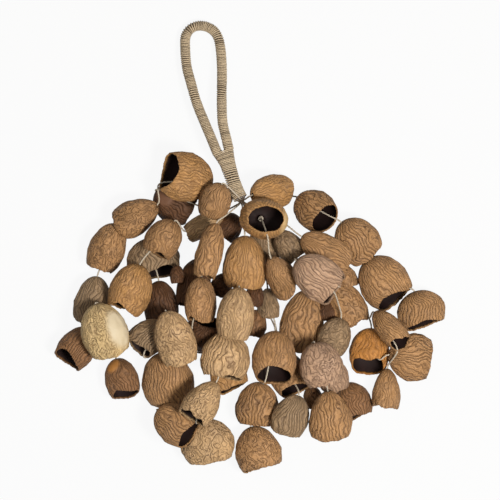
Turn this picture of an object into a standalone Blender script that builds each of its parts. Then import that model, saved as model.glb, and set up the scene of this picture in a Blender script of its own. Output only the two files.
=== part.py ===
"""Nutshell shaker: a whipped rope loop carrying a heap of open nutshells on knotted cords.

The shaker lies on a flat surface as it was put down, +Z up, with its loop towards +Y.
The origin is on the surface, under the middle of the part.
The rope loop is bound with twine, a neck of twine holds its two legs together, and cords
leave the end of the neck. Each cord enters a nutshell by a hole drilled in its crown, is
knotted under the crown, leaves by the cut mouth and goes on to the next shell.
"""

import heapq
import math
from collections import namedtuple

import bpy
import numpy as np
from mathutils import Matrix, Vector
from mathutils.bvhtree import BVHTree

MM = 0.001

# Driving dimensions of the handle
CORE_DIAMETER = 5.2 * MM
LOOP_DIAMETER = 9.2 * MM
NECK_WIDTH = 12.9 * MM
NECK_HEIGHT = 9.2 * MM
NECK_WALL = 0.8 * MM
NECK_HEAD_WIDTH = 19.6 * MM
LEG_SPACING = 10.6 * MM
NECK_END_HEIGHT = 34.0 * MM
BUNDLE_LENGTH = 6.5 * MM
BUNDLE_REACH = 2.0 * MM
BUNDLE_TAPER = 0.7

# Driving dimensions of the cords
CORD_DIAMETER = 1.5 * MM
KNOT_DIAMETER = 4.6 * MM
KNOT_LENGTH = 4.4 * MM
HOLE_DIAMETER = 3.2 * MM

# Driving dimensions of the shells
SHELL_WALL = 2.0 * MM
MOUTH_ANGLE = math.radians(128.0)
MOUTH_WAVE = math.radians(3.0)

# Gap kept between pieces that touch
GAP = 0.3 * MM

# Facets
SHELL_SIDES = 12
OUTER_BANDS = 4
INNER_BANDS = 3
ROPE_SIDES = 10
CORE_SIDES = 8

# Middle of the rope loop seen from above, in millimetres, from the left leg round to the right
LOOP_POINTS = (
    (-38.7, 101.2), (-43.5, 112.6), (-50.2, 129.4), (-55.4, 147.8), (-59.0, 161.9),
    (-60.3, 178.6), (-59.8, 188.6), (-55.2, 195.4), (-47.0, 197.9), (-37.9, 195.4),
    (-31.7, 188.6), (-28.8, 176.4), (-27.6, 156.6), (-27.8, 132.9), (-27.0, 111.8),
    (-23.9, 97.7),
)

# Middle of the neck seen from above, in millimetres, from its head to its end
NECK_POINTS = ((-26.1, 84.5), (-24.2, 79.5), (-22.0, 73.0), (-17.8, 59.8), (-14.7, 51.2), (-11.2, 44.0))
# How much of the extra width of the head is left at each point of the neck
NECK_FLARE = (1.0, 0.5, 0.15, 0.0, 0.0, 0.0)

# A nutshell: the middle of its outline seen from above, its length from crown to mouth, its
# width and its depth, all in millimetres, the heading of its mouth seen from above, the tilt of
# its mouth above level and the slant that shortens its upper lip, in degrees, how much it widens
# towards its mouth, and its tone. Its name is its cord's letter and its place on that cord.
Shell = namedtuple("Shell", "name x y length width depth heading tilt slant taper tone")

# In the order in which they are set down
SHELLS = (
    Shell("h3", 43.1, -63.4, 52.7, 39.6, 24.0, -102, -8, -5, 0.0, "tan"),
    Shell("g2", -74.8, -115.3, 45.7, 47.5, 34.0, -80, -10, -5, 0.0, "tan"),
    Shell("k4", 117.5, -31.2, 44.0, 45.7, 34.0, -53, 0, 10, 0.0, "tan"),
    Shell("k3", 93.3, 5.3, 38.7, 40.5, 34.0, -50, -15, -5, 0.0, "tan"),
    Shell("e5", -39.6, -170.4, 37.8, 49.2, 32.0, -80, -12, -5, 0.0, "pale"),
    Shell("a3", -129.8, 0.9, 41.3, 33.4, 30.0, -113, -12, -5, 0.0, "tan"),
    Shell("k5", 149.2, -54.6, 31.6, 44.8, 30.0, -73, 0, 7, 0.0, "tan"),
    Shell("k2", 59.8, 31.7, 38.7, 37.0, 32.0, -40, 0, 7, 0.0, "tan"),
    Shell("k1", 21.1, 47.5, 44.0, 31.6, 24.0, 10, -15, -5, 0.0, "honey"),
    Shell("b5", -112.6, -114.0, 34.3, 30.8, 24.0, -75, 0, 9, 0.0, "brown"),
    Shell("j5", 5.3, -177.3, 38.7, 42.2, 34.0, -73, 0, 3, 0.1, "tan"),
    Shell("j4", 3.5, -136.4, 36.1, 39.6, 32.0, -95, -12, -5, 0.1, "tan"),
    Shell("m3", 89.3, -51.5, 42.2, 36.1, 24.0, -60, -5, 0, 0.0, "tan"),
    Shell("c2", -68.6, 39.6, 35.1, 38.7, 24.0, -30, -10, -5, 0.0, "dark"),
    Shell("c3", -88.0, -8.8, 35.1, 49.2, 24.0, -78, 0, 8, 0.0, "grey"),
    Shell("a4", -142.6, -44.9, 40.5, 34.3, 24.0, -100, -8, -5, 0.1, "grey"),
    Shell("a5", -157.1, -87.1, 37.0, 33.4, 30.0, -127, 0, 8, 0.1, "brown"),
    Shell("c4", -81.0, -49.3, 40.5, 31.6, 24.0, -85, -5, -5, 0.0, "dark"),
    Shell("g1", -93.3, -80.1, 33.4, 31.6, 24.0, -138, 0, 14, 0.1, "grey"),
    Shell("c6", -66.9, -156.2, 37.0, 37.0, 24.0, -35, 0, 10, 0.0, "tan"),
    Shell("d4", -41.4, -77.4, 31.6, 38.7, 24.0, 80, 50, 0, 0.0, "dark"),
    Shell("d2", -58.1, -31.7, 44.0, 31.6, 24.0, -100, -5, -5, 0.0, "dark"),
    Shell("j1", 12.3, 0.9, 29.9, 35.1, 24.0, -60, -10, -5, 0.1, "grey"),
    Shell("m1", 32.6, 0.9, 29.9, 24.6, 24.0, -50, -5, 0, 0.1, "grey"),
    Shell("l1", 61.6, -4.4, 45.7, 29.9, 24.0, -31, -8, -5, 0.0, "tan"),
    Shell("j2", 13.6, -47.5, 26.4, 20.2, 22.0, -88, 0, 0, 0.2, "grey"),
    Shell("n1", 71.3, -77.4, 31.6, 29.9, 24.0, -110, -5, 0, 0.0, "grey"),
    Shell("q1", 29.9, -111.8, 37.0, 37.0, 24.0, -67, 0, 6, 0.0, "tan"),
    Shell("d5", -20.2, -113.5, 31.6, 33.4, 24.0, -65, 0, 8, 0.1, "honey"),
    Shell("q2", 32.6, -147.0, 35.1, 33.4, 24.0, -110, -10, -5, 0.1, "grey"),
    Shell("n3", 88.9, -135.5, 31.6, 33.4, 24.0, -70, 0, 6, 0.0, "brown"),
    Shell("l2", 99.4, -89.8, 37.0, 37.0, 24.0, -95, 5, 18, 0.0, "rust"),
    Shell("m5", 116.2, -121.4, 35.1, 25.5, 28.0, -92, 0, 0, 0.2, "tan"),
    Shell("a2", -103.0, 25.5, 38.7, 32.5, 30.0, -152, -12, -5, 0.2, "tan"),
    Shell("b2", -79.6, 7.9, 33.4, 32.5, 28.0, -120, -5, 3, 0.0, "tan"),
    Shell("b1", -48.4, 19.4, 37.8, 20.2, 30.0, -148, 0, 3, 0.1, "pale"),
    Shell("a1", -57.6, 62.9, 43.1, 45.7, 34.0, 165, 0, 9, 0.0, "honey"),
    Shell("c1", -37.4, 45.3, 29.9, 29.0, 28.0, -110, -30, -5, 0.0, "tan"),
    Shell("b3", -108.2, -36.1, 43.1, 38.7, 32.0, -110, -3, 2, 0.0, "honey"),
    Shell("b4", -127.6, -71.3, 45.7, 42.2, 34.0, -72, -8, -5, 0.0, "cream"),
    Shell("c5", -67.8, -79.2, 47.5, 36.1, 32.0, -73, -8, -5, 0.0, "pale"),
    Shell("e4", -46.6, -135.5, 37.8, 31.6, 30.0, -124, 0, 5, 0.2, "pale"),
    Shell("d3", -48.8, -44.9, 39.6, 29.0, 28.0, -90, -5, 0, 0.0, "tan"),
    Shell("d1", -39.6, -4.4, 47.5, 24.6, 26.0, -103, 0, 0, 0.0, "tan"),
    Shell("e1", -13.2, -11.4, 44.0, 40.5, 34.0, -90, -10, -5, 0.1, "honey"),
    Shell("h2", 21.1, -26.4, 40.5, 28.1, 28.0, -60, 0, 6, 0.2, "tan"),
    Shell("h1", 9.7, 26.4, 31.6, 36.1, 44.0, -10, 60, 0, 0.0, "honey"),
    Shell("e3", -27.3, -97.2, 40.5, 44.8, 32.0, -98, -5, -5, 0.0, "pale"),
    Shell("e2", -15.8, -55.9, 44.8, 33.4, 32.0, -97, -3, 0, 0.0, "pale"),
    Shell("j3", 15.0, -96.8, 42.2, 40.5, 34.0, -92, 5, 16, 0.0, "tan"),
    Shell("m2", 57.2, -27.7, 44.0, 39.6, 34.0, -38, 0, 11, 0.0, "pink"),
    Shell("n2", 72.2, -113.5, 29.9, 29.0, 26.0, -70, -10, -5, 0.0, "pink"),
    Shell("h4", 59.8, -101.2, 37.0, 39.6, 30.0, -75, -8, -5, 0.0, "pink"),
    Shell("h5", 62.0, -146.1, 40.5, 41.3, 34.0, -85, -10, -5, 0.2, "tan"),
    Shell("l3", 137.3, -97.7, 37.0, 44.0, 30.0, -8, -20, -5, 0.1, "tan"),
    Shell("m4", 121.4, -72.6, 38.7, 23.7, 26.0, -49, 0, 4, 0.0, "tan"),
)

# Bites out of a mouth's edge: the side of the shell from its top round to its left, how wide the
# bite is and how deep it runs towards the crown, in degrees
BITES = {
    "b2": (20.0, 25.0, 12.0),
    "d3": (-40.0, 30.0, 18.0),
    "h2": (50.0, 35.0, 22.0),
    "l2": (30.0, 25.0, 14.0),
    "m5": (-50.0, 35.0, 16.0),
    "m2": (70.0, 30.0, 10.0),
}

# A cord: its letter, the shell whose knot it branches from, or None where it leaves the neck, and
# the shells whose stretch before them lies in the open, as the others are tucked under the heap
Cord = namedtuple("Cord", "letter branches_from seen")

CORDS = (
    Cord("a", None, ("a2", "a5")),
    Cord("b", None, ("b1", "b2", "b3", "b5")),
    Cord("c", None, ("c4",)),
    Cord("d", None, ("d1",)),
    Cord("e", None, ("e1", "e2", "e4", "e5")),
    Cord("h", None, ("h2", "h3", "h4", "h5")),
    Cord("j", None, ("j3", "j4", "j5")),
    Cord("k", None, ("k1", "k3", "k4", "k5")),
    Cord("l", None, ()),
    Cord("m", None, ("m2", "m3", "m5")),
    Cord("g", "c4", ()),
    Cord("n", "m2", ()),
    Cord("q", "j2", ("q2",)),
)

# Base colour of each tone of shell
TONES = {
    "cream": (0.62, 0.49, 0.30),
    "pale": (0.50, 0.38, 0.24),
    "tan": (0.36, 0.22, 0.11),
    "honey": (0.43, 0.26, 0.12),
    "brown": (0.24, 0.14, 0.08),
    "dark": (0.13, 0.07, 0.035),
    "grey": (0.27, 0.21, 0.14),
    "pink": (0.40, 0.28, 0.20),
    "rust": (0.38, 0.19, 0.06),
}
TWINE_COLOUR = (0.42, 0.33, 0.21)
CORE_COLOUR = (0.30, 0.22, 0.13)
CORD_COLOUR = (0.50, 0.42, 0.32)

# Length of the room kept in front of each crown, where the cord comes in
LEAD_IN = 2.5 * MM
CROWN_ROOM = 3.5 * MM

# How far a shell may shift, in millimetres, and tilt or roll, in degrees, to lie lower in the heap
SHIFT_LIMIT = 6.0
TURN_LIMIT = 40.0
TURN_STEP = 5.0
SETTLING_STEPS = (2.0, 1.0, 0.5)
# The height, in millimetres, that makes up for a shift of one millimetre or a turn of one degree
SHIFT_COST = 1.0
TURN_COST = 0.1
LEAST_GAIN = 0.05

# How finely the heap is felt while a shell is lowered on it
HEAP_CELL = 2.0 * MM
HEAP_CELLS = 400
SAMPLES = 6
DROP_STEP = 1.0 * MM
HALVINGS = 8

# How finely a cord looks for its way round the shells, and how much it shuns the open where hidden
ROUTE_STEP = 2.0 * MM
ROUTE_MARGIN = 0.5 * MM
ROUTE_LIMIT = 60000
OPEN_COST = 2.5
STRAIGHTENING_ROUNDS = 40
BEND_TOLERANCE = 0.4 * MM


def clear_scene():
    for item in list(bpy.data.objects):
        bpy.data.objects.remove(item)


def finish_material(name, colour, roughness):
    material = bpy.data.materials.new(name)
    material.use_nodes = True
    surface = material.node_tree.nodes["Principled BSDF"]
    surface.inputs["Base Color"].default_value = (*colour, 1.0)
    surface.inputs["Roughness"].default_value = roughness
    surface.inputs["Metallic"].default_value = 0.0
    return material


def add_object(name, points, faces, colour, roughness=0.7, matrix=None):
    mesh = bpy.data.meshes.new(name)
    mesh.from_pydata([tuple(point) for point in points], [], faces)
    mesh.materials.append(finish_material(name, colour, roughness))
    mesh.shade_smooth()
    mesh.set_sharp_from_angle(angle=math.radians(40.0))
    item = bpy.data.objects.new(name, mesh)
    if matrix is not None:
        item.matrix_world = matrix
    bpy.context.collection.objects.link(item)
    return item


def smooth_curve(points, steps):
    """Points of a smooth curve through the given points, with that many steps between each two."""
    ends = [points[0] * 2.0 - points[1], *points, points[-1] * 2.0 - points[-2]]
    curve = []
    for index in range(1, len(ends) - 2):
        before, start, end, after = ends[index - 1:index + 3]
        for step in range(steps):
            t = step / steps
            curve.append(0.5 * (
                2.0 * start
                + (end - before) * t
                + (2.0 * before - 5.0 * start + 4.0 * end - after) * t * t
                + (3.0 * start - 3.0 * end + after - before) * t * t * t
            ))
    curve.append(points[-1].copy())
    return curve


def directions(path):
    """The direction along the path at each of its points."""
    last = len(path) - 1
    return [(path[min(i + 1, last)] - path[max(i - 1, 0)]).normalized() for i in range(last + 1)]


def sweep_rings(path, halves, sides):
    """Rings of points along a path, round or with flat sides, each with its half width and height."""
    rings = []
    for point, along, (half_width, half_height) in zip(path, directions(path), halves):
        side = along.cross(Vector((0.0, 0.0, 1.0))).normalized()
        up = side.cross(along)
        ring = []
        flat = half_width - half_height
        for index in range(sides):
            angle = math.tau * (index + 0.5) / sides
            across = half_height * math.cos(angle) + math.copysign(flat, math.cos(angle))
            ring.append(point + side * across + up * (half_height * math.sin(angle)))
        rings.append(ring)
    return rings


def tube_faces(rings, sides, first=0, flip=False):
    """Triangles between each ring and the next."""
    faces = []
    for ring in range(rings - 1):
        for side in range(sides):
            a = first + ring * sides + side
            b = first + ring * sides + (side + 1) % sides
            c, d = b + sides, a + sides
            pair = [(a, c, b), (a, d, c)]
            faces.extend([face[::-1] for face in pair] if flip else pair)
    return faces


def solid_rod(path, halves, sides):
    rings = sweep_rings(path, halves, sides)
    points = [point for ring in rings for point in ring]
    faces = tube_faces(len(rings), sides)
    faces.append(tuple(range(sides)))
    faces.append(tuple(reversed(range(len(points) - sides, len(points)))))
    return points, faces


def hollow_sleeve(path, outer_halves, inner_halves, sides):
    """A tube with an open bore, as one wall turned back on itself at both ends."""
    outer = sweep_rings(path, outer_halves, sides)
    inner = sweep_rings(path, inner_halves, sides)
    rings = outer + inner[::-1] + outer[:1]
    points = [point for ring in rings[:-1] for point in ring]
    count = len(points)
    faces = [tuple(index % count for index in face) for face in tube_faces(len(rings), sides)]
    return points, faces


# The handle

LOOP_RADIUS = LOOP_DIAMETER / 2
CORE_RADIUS = CORE_DIAMETER / 2
LOOP_TOP_Y = max(y for x, y in LOOP_POINTS) * MM
NECK_END_Y = NECK_POINTS[-1][1] * MM
HANDLE_SLOPE = (NECK_END_HEIGHT - LOOP_RADIUS) / (LOOP_TOP_Y - NECK_END_Y)
STEPS_BETWEEN = 2


def on_handle(x, y):
    """A point of the handle's sloping middle plane, which lifts off the surface towards the neck."""
    return Vector((x, y, LOOP_RADIUS + (LOOP_TOP_Y - y) * HANDLE_SLOPE))


def neck_half_width(flare):
    return (NECK_WIDTH + (NECK_HEAD_WIDTH - NECK_WIDTH) * flare) / 2


def neck_stations():
    """Middle, side direction and half width of the neck at each of its points."""
    middles = [on_handle(x * MM, y * MM) for x, y in NECK_POINTS]
    stations = []
    for middle, along, flare in zip(middles, directions(middles), NECK_FLARE):
        side = along.cross(Vector((0.0, 0.0, 1.0))).normalized()
        stations.append((middle, side, neck_half_width(flare)))
    return stations


def leg_points(stations, sign):
    """Middle of one leg of the core inside the neck, stopping short of the bundle of cords."""
    end = stations[-1][0]
    room = BUNDLE_LENGTH + 2 * GAP
    kept = [station for station in stations if (station[0] - end).length > room + CORE_RADIUS]
    back = (kept[-1][0] - end).normalized()
    kept.append((end + back * room, *stations[-1][1:]))
    points = []
    for middle, side, half_width in kept:
        offset = half_width - NECK_WALL - 2 * GAP - CORE_RADIUS if points else LEG_SPACING / 2
        points.append(middle + side * (sign * offset))
    return points


def build_handle():
    stations = neck_stations()
    left = leg_points(stations, 1.0)
    right = leg_points(stations, -1.0)
    loop = [on_handle(x * MM, y * MM) for x, y in LOOP_POINTS]
    route = smooth_curve(left[::-1] + loop + right, STEPS_BETWEEN)
    core = solid_rod(route, [(CORE_RADIUS, CORE_RADIUS)] * len(route), CORE_SIDES)
    add_object("handle_core", *core, CORE_COLOUR, 0.9)
    first = (len(left) - 1) * STEPS_BETWEEN
    last = len(route) - 1 - (len(right) - 1) * STEPS_BETWEEN
    around = route[first:last + 1]
    bore = CORE_RADIUS + GAP
    sleeve = hollow_sleeve(
        around, [(LOOP_RADIUS, LOOP_RADIUS)] * len(around), [(bore, bore)] * len(around), ROPE_SIDES
    )
    add_object("loop_whipping", *sleeve, TWINE_COLOUR, 0.9)
    middles = [station[0] for station in stations]
    middles[0] = middles[0] + (middles[1] - middles[0]).normalized() * (4 * GAP)
    neck = smooth_curve(middles, STEPS_BETWEEN)
    halves = []
    for index in range(len(neck)):
        low, part = divmod(index, STEPS_BETWEEN)
        high = min(low + 1, len(stations) - 1)
        share = part / STEPS_BETWEEN
        halves.append(stations[low][2] * (1.0 - share) + stations[high][2] * share)
    outer = [(half, NECK_HEIGHT / 2) for half in halves]
    inner = [(half - NECK_WALL, CORE_RADIUS + 2 * GAP) for half in halves]
    add_object("neck_whipping", *hollow_sleeve(neck, outer, inner, SHELL_SIDES), TWINE_COLOUR, 0.9)
    return stations


# The shells

def semi_axes(shell, inset):
    """Half length, half width and half depth of the egg that a shell is cut from."""
    length = shell.length * MM / (1.0 - math.cos(MOUTH_ANGLE))
    return length - inset, shell.width * MM / 2 - inset, shell.depth * MM / 2 - inset


def mouth_edge(shell, azimuth):
    """Angle from the crown at which the shell is cut, round its mouth."""
    edge = MOUTH_ANGLE - math.radians(shell.slant) * math.cos(azimuth)
    edge += MOUTH_WAVE * math.sin(2.0 * azimuth + shell.length)
    if shell.name in BITES:
        side, width, depth = (math.radians(value) for value in BITES[shell.name])
        turn = math.remainder(azimuth - side, math.tau)
        edge -= depth * math.exp(-(turn / width) ** 2)
    return edge


def shell_point(shell, polar, azimuth, inset):
    """A point of a shell in its own frame: crown at -X, mouth at +X, upper lip at +Z."""
    whole = semi_axes(shell, 0.0)[0]
    length, width, depth = semi_axes(shell, inset)
    x = -length * math.cos(polar)
    swell = math.sin(polar) * (1.0 + shell.taper * x / whole)
    middle = -whole * (1.0 + math.cos(MOUTH_ANGLE)) / 2
    return Vector((x - middle, width * swell * math.sin(azimuth), depth * swell * math.cos(azimuth)))


def hole_point(shell, azimuth, inset, radius):
    length, width, depth = semi_axes(shell, inset)
    polar = math.asin(min(1.0, radius / min(width, depth)))
    point = shell_point(shell, polar, azimuth, inset)
    return Vector((point.x, radius * math.sin(azimuth), radius * math.cos(azimuth)))


def shell_mesh(shell, grow=0.0):
    """The wall of a shell, grown on every side by a little where a gap to it is tested."""
    azimuths = [math.tau * index / SHELL_SIDES for index in range(SHELL_SIDES)]
    reach = grow / semi_axes(shell, 0.0)[0]
    radius = HOLE_DIAMETER / 2 - grow
    outer, inner = -grow, SHELL_WALL + grow
    rings = [[hole_point(shell, azimuth, outer, radius) for azimuth in azimuths]]
    for inset, bands in ((outer, range(1, OUTER_BANDS + 1)), (inner, range(INNER_BANDS, 0, -1))):
        count = OUTER_BANDS if inset == outer else INNER_BANDS
        for band in bands:
            share = band / count
            rings.append([
                shell_point(shell, (mouth_edge(shell, azimuth) + reach) * share, azimuth, inset)
                for azimuth in azimuths
            ])
    rings.append([hole_point(shell, azimuth, inner, radius) for azimuth in azimuths])
    points = [point for ring in rings for point in ring]
    faces = tube_faces(len(rings) + 1, SHELL_SIDES)
    return points, [tuple(index % len(points) for index in face) for face in faces]


def crown_offset(shell):
    """How far the crown lies behind the middle of a shell's length."""
    whole = semi_axes(shell, 0.0)[0]
    return whole * (1.0 - math.cos(MOUTH_ANGLE)) / 2


def guarded_mesh(shell, grow):
    """A shell with a spike that keeps the room in front of its crown free for the cord."""
    points, faces = shell_mesh(shell, grow)
    first = len(points)
    base = -crown_offset(shell)
    half = HOLE_DIAMETER / 2
    corners = ((half, 0.0), (0.0, half), (-half, 0.0), (0.0, -half))
    points.extend(Vector((base, y, z)) for y, z in corners)
    points.append(Vector((base - CROWN_ROOM, 0.0, 0.0)))
    faces.extend((first + side, first + (side + 1) % 4, first + 4) for side in range(4))
    return points, faces


def shell_turn(shell, more_tilt, roll):
    """Rotation of a shell from its own frame to its heading, its tilt and its roll."""
    heading, tilt = math.radians(shell.heading), math.radians(shell.tilt + more_tilt)
    along = Vector((
        math.cos(tilt) * math.cos(heading),
        math.cos(tilt) * math.sin(heading),
        math.sin(tilt),
    ))
    left = Vector((-math.sin(heading), math.cos(heading), 0.0))
    turn = Matrix((along, left, along.cross(left))).transposed()
    return turn @ Matrix.Rotation(math.radians(roll), 3, "X")


class Heap:
    """The shells set down so far: their triangles, and how high they reach over each spot."""

    def __init__(self):
        self.tops = np.zeros((HEAP_CELLS, HEAP_CELLS))
        self.points = []
        self.faces = []
        self.tree = None

    def spots(self, samples):
        cells = np.floor(samples[:, :2] / HEAP_CELL).astype(int) + HEAP_CELLS // 2
        return cells[:, 0], cells[:, 1]

    def rest_height(self, samples):
        """How far the lowered samples are stopped above the surface."""
        return float((self.tops[self.spots(samples)] - samples[:, 2]).max())

    def touches(self, points, faces, height):
        moved = [point + Vector((0.0, 0.0, height)) for point in points]
        return bool(BVHTree.FromPolygons(moved, faces, all_triangles=True).overlap(self.tree))

    def add(self, samples, points, faces):
        np.maximum.at(self.tops, self.spots(samples), samples[:, 2])
        first = len(self.points)
        self.points.extend(points)
        self.faces.extend(tuple(index + first for index in face) for face in faces)
        self.tree = BVHTree.FromPolygons(self.points, self.faces, all_triangles=True)


def surface_samples(points, faces):
    """Points spread over the triangles of a shell, in its own frame."""
    corners = np.array([[points[index] for index in face] for face in faces])
    spread = [
        (i / SAMPLES, j / SAMPLES, (SAMPLES - i - j) / SAMPLES)
        for i in range(SAMPLES + 1) for j in range(SAMPLES + 1 - i)
    ]
    return np.einsum("sc,fcx->fsx", np.array(spread), corners).reshape(-1, 3)


def lowered(shell, samples, change):
    """The shell's samples turned and moved over its spot, with its turn and its place there."""
    right, away, tilt, roll = change
    turn = shell_turn(shell, tilt, roll)
    turned = samples @ np.array(turn).T
    low, high = turned.min(axis=0), turned.max(axis=0)
    shift = np.array((
        (shell.x + right) * MM - (low[0] + high[0]) / 2,
        (shell.y + away) * MM - (low[1] + high[1]) / 2,
        -low[2] - GAP,
    ))
    return turned + shift, turn, shift


def settle(shell, samples, heap):
    """The small shift, tilt and roll by which a shell comes to lie lower, where there are any."""
    def burden(change):
        placed = lowered(shell, samples, change)[0]
        right, away, tilt, roll = change
        moved = math.hypot(right, away)
        if moved > SHIFT_LIMIT:
            return math.inf
        height = (heap.rest_height(placed) + placed[:, 2].max() / 2) / MM
        return height + SHIFT_COST * moved + TURN_COST * (abs(tilt) + abs(roll))

    best = (0.0, 0.0, 0.0, 0.0)
    least = burden(best)
    for step in SETTLING_STEPS:
        improved = True
        while improved:
            improved = False
            moves = [(right, away, 0.0, 0.0) for right in (-1, 0, 1) for away in (-1, 0, 1)]
            moves += [(0.0, 0.0, turn, 0.0) for turn in (-TURN_STEP, TURN_STEP)]
            moves += [(0.0, 0.0, 0.0, turn) for turn in (-TURN_STEP, TURN_STEP)]
            for move in moves:
                change = tuple(value + step * part for value, part in zip(best, move))
                if max(abs(change[2]), abs(change[3])) > TURN_LIMIT:
                    continue
                load = burden(change)
                if load < least - LEAST_GAIN:
                    best, least, improved = change, load, True
    return best


def set_down(shell, heap):
    """Place of a shell lowered from above until it rests on the surface or on the heap."""
    points, faces = guarded_mesh(shell, GAP)
    samples = surface_samples(points, faces)
    change = settle(shell, samples, heap)
    placed, turn, shift = lowered(shell, samples, change)
    standing = [turn @ point + Vector(shift) for point in points]
    height = max(heap.rest_height(placed), 0.0)
    if heap.tree is not None:
        while heap.touches(standing, faces, height):
            height += DROP_STEP
        blocked = height - 2 * DROP_STEP
        for _ in range(HALVINGS if blocked > 0.0 else 0):
            middle = (blocked + height) / 2
            if heap.touches(standing, faces, middle):
                blocked = middle
            else:
                height = middle
    return Matrix.Translation(Vector(shift) + Vector((0.0, 0.0, height))) @ turn.to_4x4()


def stack_shells():
    """The place of each shell, in the order in which they are set down."""
    places = {}
    heap = Heap()
    for shell in SHELLS:
        place = set_down(shell, heap)
        places[shell.name] = place
        points, faces = guarded_mesh(shell, 0.0)
        samples = surface_samples(points, faces)
        turn = np.array(place.to_3x3())
        heap.add(samples @ turn.T + np.array(place.translation), [place @ point for point in points], faces)
    return places


# The cords

CORD_RADIUS = CORD_DIAMETER / 2
STEPS = [
    (i, j, k) for i in (-1, 0, 1) for j in (-1, 0, 1) for k in (-1, 0, 1) if (i, j, k) != (0, 0, 0)
]


class Way:
    """Finds a cord's way through the gaps between the pieces it must not touch."""

    def __init__(self, points, faces):
        self.tree = BVHTree.FromPolygons(points, faces)
        self.known = {}
        self.roofed = {}

    def clear(self, point, room):
        if point.z < CORD_RADIUS + 2 * GAP:
            return False
        return self.tree.find_nearest(point, room)[0] is None

    def clear_line(self, start, end, room):
        """Whether there is room for the cord all along a straight stretch."""
        steps = max(1, math.ceil((end - start).length / CORD_RADIUS))
        return all(self.clear(start.lerp(end, step / steps), room) for step in range(steps + 1))

    def open_cell(self, cell):
        if cell not in self.known:
            room = CORD_RADIUS + GAP + ROUTE_MARGIN
            self.known[cell] = self.clear(Vector(cell) * ROUTE_STEP, room)
        return self.known[cell]

    def under_cover(self, cell):
        if cell not in self.roofed:
            hit = self.tree.ray_cast(Vector(cell) * ROUTE_STEP, Vector((0.0, 0.0, 1.0)))[0]
            self.roofed[cell] = hit is not None
        return self.roofed[cell]

    def nearest_cell(self, point):
        home = [round(value / ROUTE_STEP) for value in point]
        reach = range(-2, 3)
        cells = [(home[0] + i, home[1] + j, home[2] + k) for i in reach for j in reach for k in reach]
        cells.sort(key=lambda cell: (Vector(cell) * ROUTE_STEP - point).length)
        for cell in cells:
            if self.open_cell(cell) and self.clear_line(point, Vector(cell) * ROUTE_STEP, CORD_RADIUS):
                return cell
        return tuple(home)

    def find(self, start, goal, seen):
        """Shortest open way, kept under the heap where it isn't seen."""
        first, last = self.nearest_cell(start), self.nearest_cell(goal)
        aim = Vector(last)
        queue = [(0.0, first)]
        cost = {first: 0.0}
        came = {}
        tried = 0
        while queue and tried < ROUTE_LIMIT:
            cell = heapq.heappop(queue)[1]
            tried += 1
            if cell == last:
                break
            for step in STEPS:
                near = (cell[0] + step[0], cell[1] + step[1], cell[2] + step[2])
                if near != last and not self.open_cell(near):
                    continue
                length = math.sqrt(step[0] ** 2 + step[1] ** 2 + step[2] ** 2)
                if not seen and not self.under_cover(near):
                    length *= OPEN_COST
                total = cost[cell] + length
                if total < cost.get(near, math.inf):
                    cost[near] = total
                    came[near] = cell
                    heapq.heappush(queue, (total + (Vector(near) - aim).length, near))
        if last not in came:
            print("no way found from", tuple(start), "to", tuple(goal), "after", tried)
            return [start, goal]
        cells = [last]
        while cells[-1] in came:
            cells.append(came[cells[-1]])
        return [start] + [Vector(cell) * ROUTE_STEP for cell in reversed(cells)] + [goal]

    def straighten(self, path):
        """Pull a way tight, as far as the room round it lets it."""
        room = CORD_RADIUS + GAP
        for _ in range(STRAIGHTENING_ROUNDS):
            for index in range(1, len(path) - 1):
                before, after = path[index - 1], path[index + 1]
                middle = (before + after) / 2
                if self.clear_line(before, middle, room) and self.clear_line(middle, after, room):
                    path[index] = middle
        return path

    def drop_straight_points(self, path):
        """Leave out the points without which the way still runs almost the same and is clear."""
        kept = [path[0]]
        first = 0
        while first < len(path) - 1:
            last = first + 1
            while last + 1 < len(path) and self.runs_straight(path[first:last + 2]):
                last += 1
            kept.append(path[last])
            first = last
        return kept

    def runs_straight(self, stretch):
        start, end = stretch[0], stretch[-1]
        along = end - start
        for point in stretch[1:-1]:
            share = (point - start).dot(along) / along.length_squared
            if (point - start.lerp(end, min(max(share, 0.0), 1.0))).length > BEND_TOLERANCE:
                return False
        return self.clear_line(start, end, CORD_RADIUS + GAP)


def crown_stops(shell, place):
    """Points of a cord at a shell's crown: before the hole, then each end and middle of its knot."""
    crown = -crown_offset(shell)
    knot = crown + SHELL_WALL + KNOT_LENGTH / 2 + 2 * GAP
    ends = (crown - LEAD_IN, knot - KNOT_LENGTH / 2, knot, knot + KNOT_LENGTH / 2, knot + KNOT_LENGTH)
    stops = [place @ Vector((x, 0.0, 0.0)) for x in ends]
    for stop in stops:
        stop.z = max(stop.z, CORD_RADIUS + GAP)
    return stops


def cord_routes(places, way, start, along):
    """The points and the thickness of each cord, from the neck or from another cord's knot."""
    shells = {shell.name: shell for shell in SHELLS}
    routes = []
    for cord in CORDS:
        names = sorted(name for name in shells if name[0] == cord.letter)
        if cord.branches_from is None:
            path = [start]
            leave = start + along * (BUNDLE_REACH + 2 * LEAD_IN)
        else:
            stops = crown_stops(shells[cord.branches_from], places[cord.branches_from])
            path = [stops[2]]
            leave = stops[4]
        sizes = [1.0]
        for name in names:
            stops = crown_stops(shells[name], places[name])
            stretch = way.find(leave, stops[0], name in cord.seen)
            stretch = way.drop_straight_points(way.straighten(stretch))
            path.extend(stretch)
            sizes.extend([1.0] * len(stretch))
            path.extend(stops[1:4])
            knot_radius = min(KNOT_DIAMETER / 2, stops[2].z - GAP)
            sizes.extend([1.0, knot_radius / CORD_RADIUS, 1.0])
            leave = stops[4]
        routes.append((cord, path, sizes))
    return routes


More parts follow.
